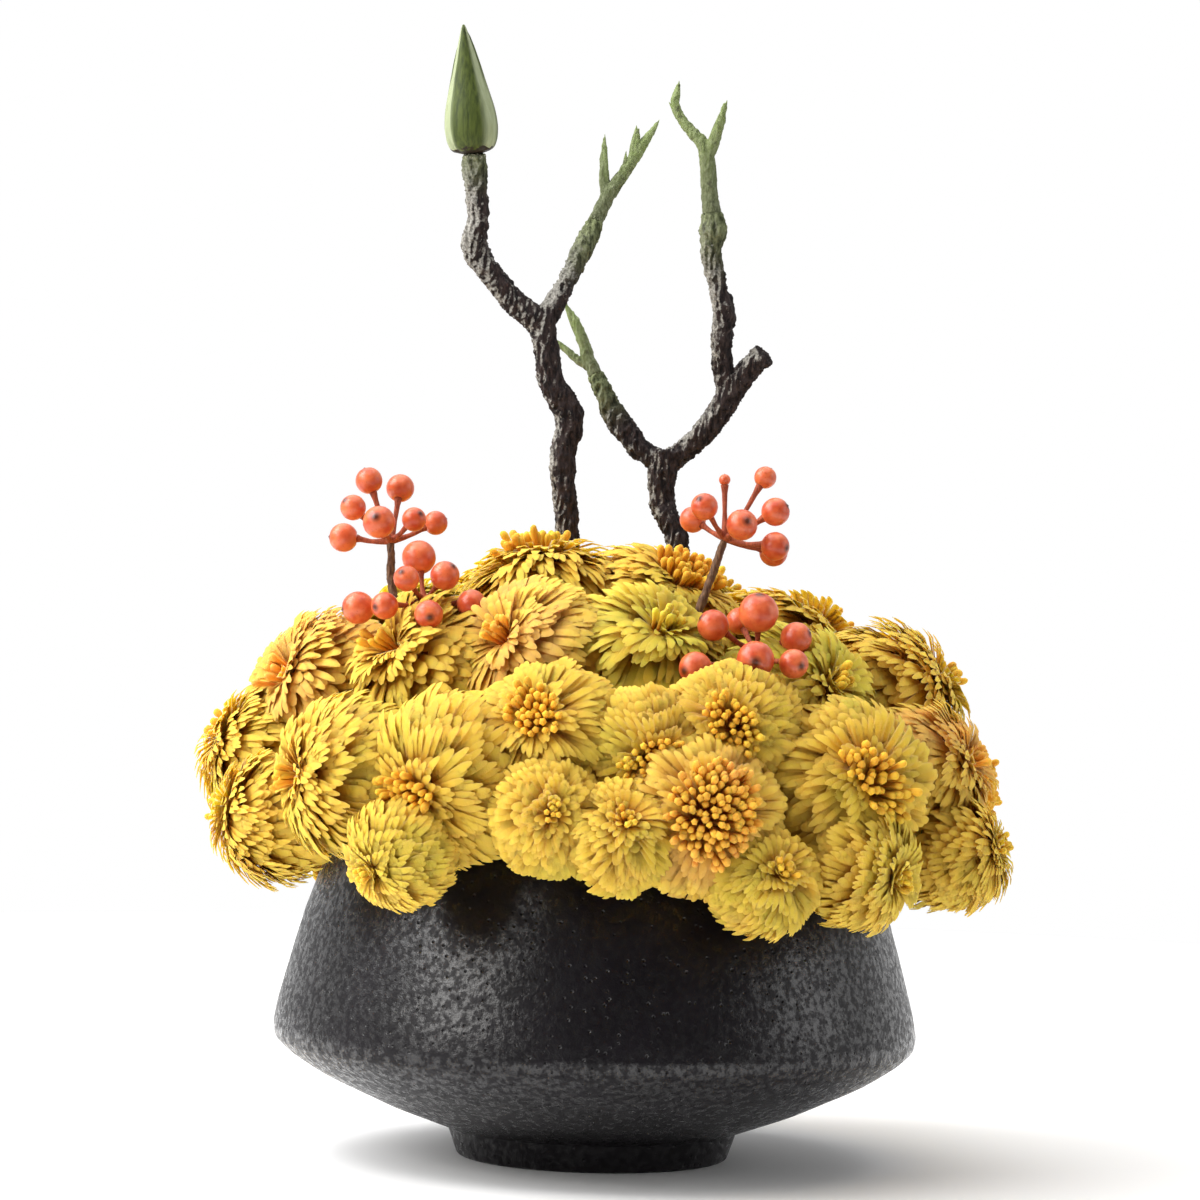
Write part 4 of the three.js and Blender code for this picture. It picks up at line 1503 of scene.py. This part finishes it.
    def grown(self, pattern: Pattern, polar: Array, turn: Array, share: Array,
              tone: Array, pitch: float) -> Florets:
        """Petals that arch over from the heart and lie along the head, one layer over the next.

        Args:
            pattern: The shape to repeat.
            polar: Each one's angle from the face.
            turn: Its angle round the face.
            share: How far it reaches, as a share of the radius.
            tone: Its shade, from 0 to 1.
            pitch: Millimetres from one to the next.

        Returns:
            The petals.
        """
        count = len(polar)
        mean, spread = (math.radians(angle) for angle in self.ARCH)
        arch = np.minimum(mean + self.rng.normal(0, spread, count), 0.75 * polar)
        outward = self.toward(polar, turn)
        reach = np.minimum(self.room(outward), self.radius * share)
        for back in self.CLEAR_AT:
            reach = np.minimum(reach, self.gap(self.toward(polar - arch * back, turn)))
        start = self.at(polar * 0.45, turn, self.ROOT * self.radius)
        bend = self.at(polar - arch, turn, reach * 0.96)
        end = self.centre + outward * reach[:, None]
        flat = unit(np.cross(outward, end - bend))
        roll = self.rng.normal(0, math.radians(self.ROLL), count)[:, None]
        side = np.cos(roll) * flat + np.sin(roll) * outward
        width = pitch * 0.8 * self.rng.uniform(*self.PETAL_WIDTHS, count)
        return Florets(pattern, start, bend, end, side, width, np.full(count, self.PETAL_DEPTH), tone)

    def clubs(self, pattern: Pattern) -> Florets:
        """The crown of club-tipped florets, spread in a spiral.

        Args:
            pattern: The shape to repeat.

        Returns:
            The florets.
        """
        cap = math.radians(self.crown.width)
        spacing = self.spaced(*self.CLUB_PITCH)
        count = max(8, round(2 * math.pi * (0.84 * self.radius) ** 2 * (1 - math.cos(cap)) / spacing ** 2))
        order = (np.arange(count) + 0.5) / count
        polar = np.arccos(1 - order * (1 - math.cos(cap))) + self.rng.normal(0, 0.02, count)
        turn = np.arange(count) * math.pi * (3 - math.sqrt(5)) + self.rng.normal(0, 0.08, count)
        reach = self.room(self.toward(polar, turn)) * (0.82 + 0.09 * order + self.rng.normal(0, 0.03, count))
        start = self.at(polar * 0.8, turn, self.ROOT * self.radius)
        bend = self.at(polar * 0.9, turn, reach * 0.7)
        end = self.at(polar, turn, reach)
        width = spacing * 0.55 * self.rng.uniform(*self.CLUB_WIDTHS, count)
        tone = self.rng.uniform(0, 1, count)
        return Florets(pattern, start, bend, end, self.around(turn), width, width, tone, ripe=0.7)

    def build(self, patterns: Patterns) -> None:
        """Makes the head and hands it over.

        Args:
            patterns: The shapes that it repeats.
        """
        slot, finish = self.shade.value
        fringe = self.petals(patterns.petal)
        under = self.petals(patterns.petal, broad=1.7, wild=0.5, level=0.92, behind=9)
        head = mesh_of(f"head_{self.number:02d}", [fringe, under, self.clubs(patterns.club)])
        head = joined(head.name, [head, self.heart()])
        hand_over(head, finish, slot, f"bloom_{self.number:02d}")

    def heart(self) -> Piece:
        """The dense heart that the florets stand on, sunk where the crown is.

        Returns:
            The heart.
        """
        bpy.ops.mesh.primitive_ico_sphere_add(subdivisions=4, radius=1, location=(0, 0, 0))
        heart = bpy.context.object
        outward = unit(places(heart))
        edge = self.crown.width
        off_crown = smooth_step(edge, edge + self.WHORL_STEP, np.degrees(np.arccos(outward @ self.face)))
        reach = np.minimum((self.HEART + 0.06 * off_crown) * self.radius, 0.7 * self.room(outward))
        heart.data.vertices.foreach_set("co", ((self.centre + outward * reach[:, None]) * MM).ravel())
        # The heart takes the petals' brown-gold foot colour, which is partly painted shade deep in the head.
        mark(heart, "along", 0.34 + 0.1 * off_crown)
        mark(heart, "tone", np.full(len(outward), 0.4))
        return heart

    def sepals(self, pattern: Pattern) -> Florets:
        """The ring of green sepals that holds the head from below.

        Args:
            pattern: The shape to repeat.

        Returns:
            The sepals.
        """
        count = self.SEPALS
        turn = (np.arange(count) + self.rng.uniform()) * 2 * math.pi / count
        right, up = self.frame(self.axis)
        ring = np.cos(turn)[:, None] * right + np.sin(turn)[:, None] * up
        outward = unit(0.85 * ring - 0.53 * self.axis)
        below = unit(0.5 * ring - 0.86 * self.axis)
        reach = np.minimum(self.room(outward) * 0.97, 0.8 * self.radius)[:, None]
        start = self.centre - self.axis * (self.HEART * self.radius) + 0.04 * self.radius * ring
        bend = self.centre + below * reach
        end = self.centre + outward * reach
        width, depth = np.full(count, 0.16 * self.radius), np.full(count, self.SEPAL_DEPTH)
        tone = self.rng.uniform(0, 1, count)
        return Florets(pattern, start, bend, end, np.cross(self.axis, ring), width, depth, tone)


def unfold_leaves(finish: Finish) -> None:
    """Makes the small folded leaves that the shoots end in.

    Args:
        finish: Their surface.
    """
    rings = [(0, 0.45), (0.14, 0.78), (0.36, 1.0), (0.62, 0.86), (0.84, 0.46), (1, 0.08)]
    pattern = Pattern.blade(4, rings, hollow=0.3)
    for name, leaves in LEAVES.items():
        starts, ends = (np.array([leaf[i] for leaf in leaves], dtype=float) for i in (0, 1))
        width = np.array([leaf[2] for leaf in leaves])
        bend = (starts + ends) / 2 + np.array((0.0, -0.9, -0.6))
        side = np.tile((1.0, -0.35, 0.0), (len(leaves), 1))
        leaf_mesh = mesh_of(f"leaves_{name}", [
            Florets(pattern, starts, bend, ends, side, width, 0.62 * width, np.full(len(leaves), 0.5))])
        finish_with(leaf_mesh, "SUBSURF", levels=2, render_levels=2)
        along = each(leaf_mesh.data.attributes["along"].data, "value", 1)
        mark(leaf_mesh, "young", 0.35 + 0.65 * along.ravel())
        hand_over(leaf_mesh, finish, "shoot")


@dataclass
class Cushion:
    """All the blooms, kept clear of each other and of what stands among them, with sepals and stems."""

    bowl_wall: tuple[tuple[float, float], ...] = ((96.5, 38), (87.8, 73), (80.1, 92.8), (77.5, 96), (0, 96))
    # How far the petal tips of neighbours mingle, as a share of the radius.
    mingle: float = 0.2
    # How much of a nestled berry stays clear, as a share of its radius.
    bared: float = 0.35
    # Places along each span of a thin stem that the petals pass by.
    stations: int = 9

    def build(self) -> None:
        """Makes every bloom, then the sepals under them and the stems."""
        patterns = Patterns()
        blooms = [
            Bloom(number, np.array((x, y, z), dtype=float), radius, shade, crown)
            for number, (x, y, z, radius, shade, crown) in enumerate(BLOOMS, 1)
        ]
        for bloom in blooms:
            self.fence(bloom, blooms)
            bloom.build(patterns)
        sepals = mesh_of("sepals", [bloom.sepals(patterns.sepal) for bloom in blooms])
        hand_over(sepals, GREEN_STEM, "flower_stem")
        FlowerStems(blooms).build()

    def fence(self, bloom: Bloom, blooms: list[Bloom]) -> None:
        """Notes everything that one bloom has to stay clear of.

        Args:
            bloom: The bloom.
            blooms: All the blooms.
        """
        for other in blooms:
            if other is not bloom:
                share = bloom.radius / (bloom.radius + other.radius)
                middle = bloom.centre + (other.centre - bloom.centre) * share
                bloom.keep_clear_of(middle, -self.mingle * bloom.radius)
        for knots in (LEFT_TRUNK, RIGHT_TRUNK):
            for start, end in zip(knots, knots[1:]):
                nearest = self.nearest(np.array(start[:3]), np.array(end[:3]), bloom.centre)
                bloom.keep_clear_of(nearest, max(start[3], end[3]) + GAP)
        for spray in SPRAYS:
            for knots in spray.limbs:
                for start, end in zip(knots, knots[1:]):
                    for share in np.linspace(0, 1, self.stations):
                        station = np.array(start[:3]) * (1 - share) + np.array(end[:3]) * share
                        bloom.pass_by(station, start[3] + GAP)
            for cluster in spray.clusters:
                for *middle, radius in cluster.balls:
                    bloom.pass_by(np.array(middle), radius + 2 * GAP)
                    if cluster.nestled:
                        bloom.keep_clear_of(np.array(middle), self.bared * radius)
        reach = float(np.hypot(*bloom.centre[:2]))
        flat = np.array((reach, bloom.centre[2]))
        candidates = [
            self.nearest(np.array(a, dtype=float), np.array(b, dtype=float), flat)
            for a, b in zip(self.bowl_wall, self.bowl_wall[1:])
        ]
        r, z = min(candidates, key=lambda point: float(np.linalg.norm(point - flat)))
        bloom.keep_clear_of(np.array((*(bloom.centre[:2] / reach * r), z)), GAP)

    @staticmethod
    def nearest(start: Array, end: Array, point: Array) -> Array:
        """The point of a span that is nearest to another point."""
        span = end - start
        return start + span * float(np.clip((point - start) @ span / (span @ span), 0, 1))


@dataclass
class FlowerStems:
    """Branched green stems, in bunches, from the foam to the foot of every bloom."""

    blooms: list[Bloom]
    radius: float = 1.4
    main_radius: float = 2.1
    straight: float = 5.0
    sectors: int = 5
    inner: tuple[float, float] = (43.0, 98.0)
    side: tuple[float, float] = (60.0, 109.0)
    hub: tuple[float, float] = (68.0, 113.0)
    top_foot: Place = (1, 8, 92)
    top_hub: Place = (1, 8, 133)
    top_reach: float = 46.0
    base: float = 0.38

    def build(self) -> None:
        """Makes each bunch and hands it over."""
        width = 2 * math.pi / self.sectors
        own: dict[int | None, list[Bloom]] = {}
        for bloom in self.blooms:
            x, y, _ = bloom.centre
            inside = float(np.hypot(x, y)) < self.top_reach
            own.setdefault(None if inside else int((math.atan2(y, x) + math.pi) / width), []).append(bloom)
        self.bunch("top", [(*self.top_foot, self.main_radius), (*self.top_hub, self.main_radius)], own[None])
        for sector in range(self.sectors):
            azimuth = (sector + 0.5) * width - math.pi
            root = [
                (r * math.cos(azimuth), r * math.sin(azimuth), z, self.main_radius)
                for r, z in (self.inner, self.side, self.hub)
            ]
            self.bunch(str(sector + 1), root, own.get(sector, []))

    def bunch(self, name: str, root: list[Knot], blooms: list[Bloom]) -> None:
        """One bunch: its root in the foam and a stem to each of its blooms.

        Args:
            name: The end of its name.
            root: The knots of its root.
            blooms: Its blooms.
        """
        rods = [bent_rod(root, steps=6, roundness=2)]
        for bloom in blooms:
            foot = bloom.centre - bloom.axis * (bloom.radius * self.base)
            below = foot - bloom.axis * self.straight
            knots = [(*root[-1][:3], self.radius), (*below, self.radius), (*foot, self.radius * 1.25)]
            rods.append(bent_rod(knots, steps=8, roundness=2))
        hand_over(joined(f"stems_{name}", rods), GREEN_STEM, "flower_stem", f"flower_stems_{name}")


# ---- Studio ----

@dataclass(frozen=True)
class SoftBox:
    """One large soft lamp: where it hangs, its width and its power."""

    name: str
    place: Place
    size: float
    power: float
    colour: Colour = (1.0, 1.0, 1.0)


@dataclass
class Studio:
    """A pale floor, soft light and the camera at the viewer's place."""

    floor_radius: float = 0.8
    sky_front: float = 0.13
    sky_back: float = 0.85
    # Where the sky's strength starts and ends to turn from front to back, by the Y of its direction.
    sky_turn: tuple[float, float] = (-0.6, 0.7)
    aim: Place = (0, 0, 130)
    lamps: tuple[SoftBox, ...] = (
        SoftBox("key_light", (-1320, -995, 860), 0.85, 13.0, (1.0, 0.98, 0.95)),
        SoftBox("top_light", (-200, 100, 1500), 2.0, 26.0),
        SoftBox("left_light", (-1250, -100, 1250), 1.2, 30.0),
        SoftBox("fill_light", (-1200, -1000, 60), 1.0, 1.8),
        SoftBox("right_light", (1500, -200, 600), 0.9, 4.0),
    )
    camera_place: Place = (-1.75, -1499.6, 203.65)
    camera_aim: Place = (-1.75, 0, 167)
    camera_roll: float = 1.5
    lens: float = 150.0
    sensor: float = 36.0

    def build(self) -> None:
        """Sets up the floor, the sky, the lamps and the camera."""
        bpy.ops.mesh.primitive_circle_add(vertices=96, radius=self.floor_radius, fill_type="NGON")
        floor = named("pale_floor")
        floor.data.materials.append(PaleFloor("pale_floor").material())
        self.light()
        self.look()
        LOG.info("studio: floor, sky, %d lamps and camera", len(self.lamps))

    def light(self) -> None:
        """A white sky, dimmer in front of the object than behind it, and the lamps."""
        world = bpy.data.worlds.new("studio_sky")
        world.use_nodes = True
        bpy.context.scene.world = world
        tree = world.node_tree
        back = tree.nodes["Background"]
        ray, level, aim, parts, depth = (
            tree.nodes.new(f"ShaderNode{kind}")
            for kind in ("LightPath", "Mix", "TexCoord", "SeparateXYZ", "MapRange")
        )
        from_low, from_high = self.sky_turn
        for socket, value in (
            (depth.inputs["From Min"], from_low), (depth.inputs["From Max"], from_high),
            (depth.inputs["To Min"], self.sky_front), (depth.inputs["To Max"], self.sky_back),
            (level.inputs[3], 1.0), (back.inputs["Color"], (1, 1, 1, 1)),
        ):
            socket.default_value = value
        for source, socket in (
            (aim.outputs["Generated"], parts.inputs[0]), (parts.outputs["Y"], depth.inputs["Value"]),
            (depth.outputs[0], level.inputs[2]), (ray.outputs["Is Camera Ray"], level.inputs[0]),
            (level.outputs[0], back.inputs["Strength"]),
        ):
            tree.links.new(source, socket)
        for lamp in self.lamps:
            bpy.ops.object.light_add(type="AREA", location=tuple(v * MM for v in lamp.place))
            light = named(lamp.name)
            light.data.energy = lamp.power
            light.data.size = lamp.size
            light.data.color = lamp.colour
            face_along(light, (Vector(self.aim) - Vector(lamp.place)) * MM, "-Z")

    def look(self) -> None:
        """Puts the camera at the viewer's place."""
        bpy.ops.object.camera_add(location=tuple(v * MM for v in self.camera_place))
        camera = named("camera")
        camera.data.lens = self.lens
        camera.data.sensor_width = self.sensor
        face_along(camera, Vector(self.camera_aim) - Vector(self.camera_place), "-Z")
        roll = Quaternion((0, 0, 1), math.radians(self.camera_roll))
        camera.rotation_quaternion = camera.rotation_quaternion @ roll
        bpy.context.scene.camera = camera
        bpy.context.scene.view_settings.view_transform = "Standard"


# ---- The arrangement ----


def main() -> None:
    """Builds the arrangement, from the bowl up."""
    Studio().build()
    Bowl().build()
    dress_foam()
    bark, green = Bark("rough_bark"), Greenwood("green_wood")
    WoodyLimbs("left_bark", [LEFT_TRUNK, *LEFT_BARK], bark, "bark", "branch_left",
               young_from=[(-5, 16, 284, 30), (-43, -4, 306, 22)], frayed=((-43, -4, 301.5),)).build()
    WoodyLimbs("right_bark", [RIGHT_TRUNK, *RIGHT_BARK], bark, "bark", "branch_right",
               young_from=[(-6, 30, 238, 24), (28.8, 8, 290, 30)]).build()
    fine = {"grain": 0.28, "lump": 0.5, "fissure": 0.3}
    for name, limbs, end in (
        ("left_shoots", LEFT_SHOOTS, (10, 23, 312, 34)),
        ("right_side_shoots", RIGHT_SIDE_SHOOTS, (-15, 32, 257, 26)),
        ("right_top_shoots", RIGHT_TOP_SHOOTS, (25, 8, 326, 42)),
    ):
        WoodyLimbs(name, limbs, green, "shoot", f"branch_{name}", young_from=[end], **fine).build()
    unfold_leaves(green)
    Bud().build()
    for spray in SPRAYS:
        spray.build()
    Cushion().build()


if __name__ == "__main__":
    main()
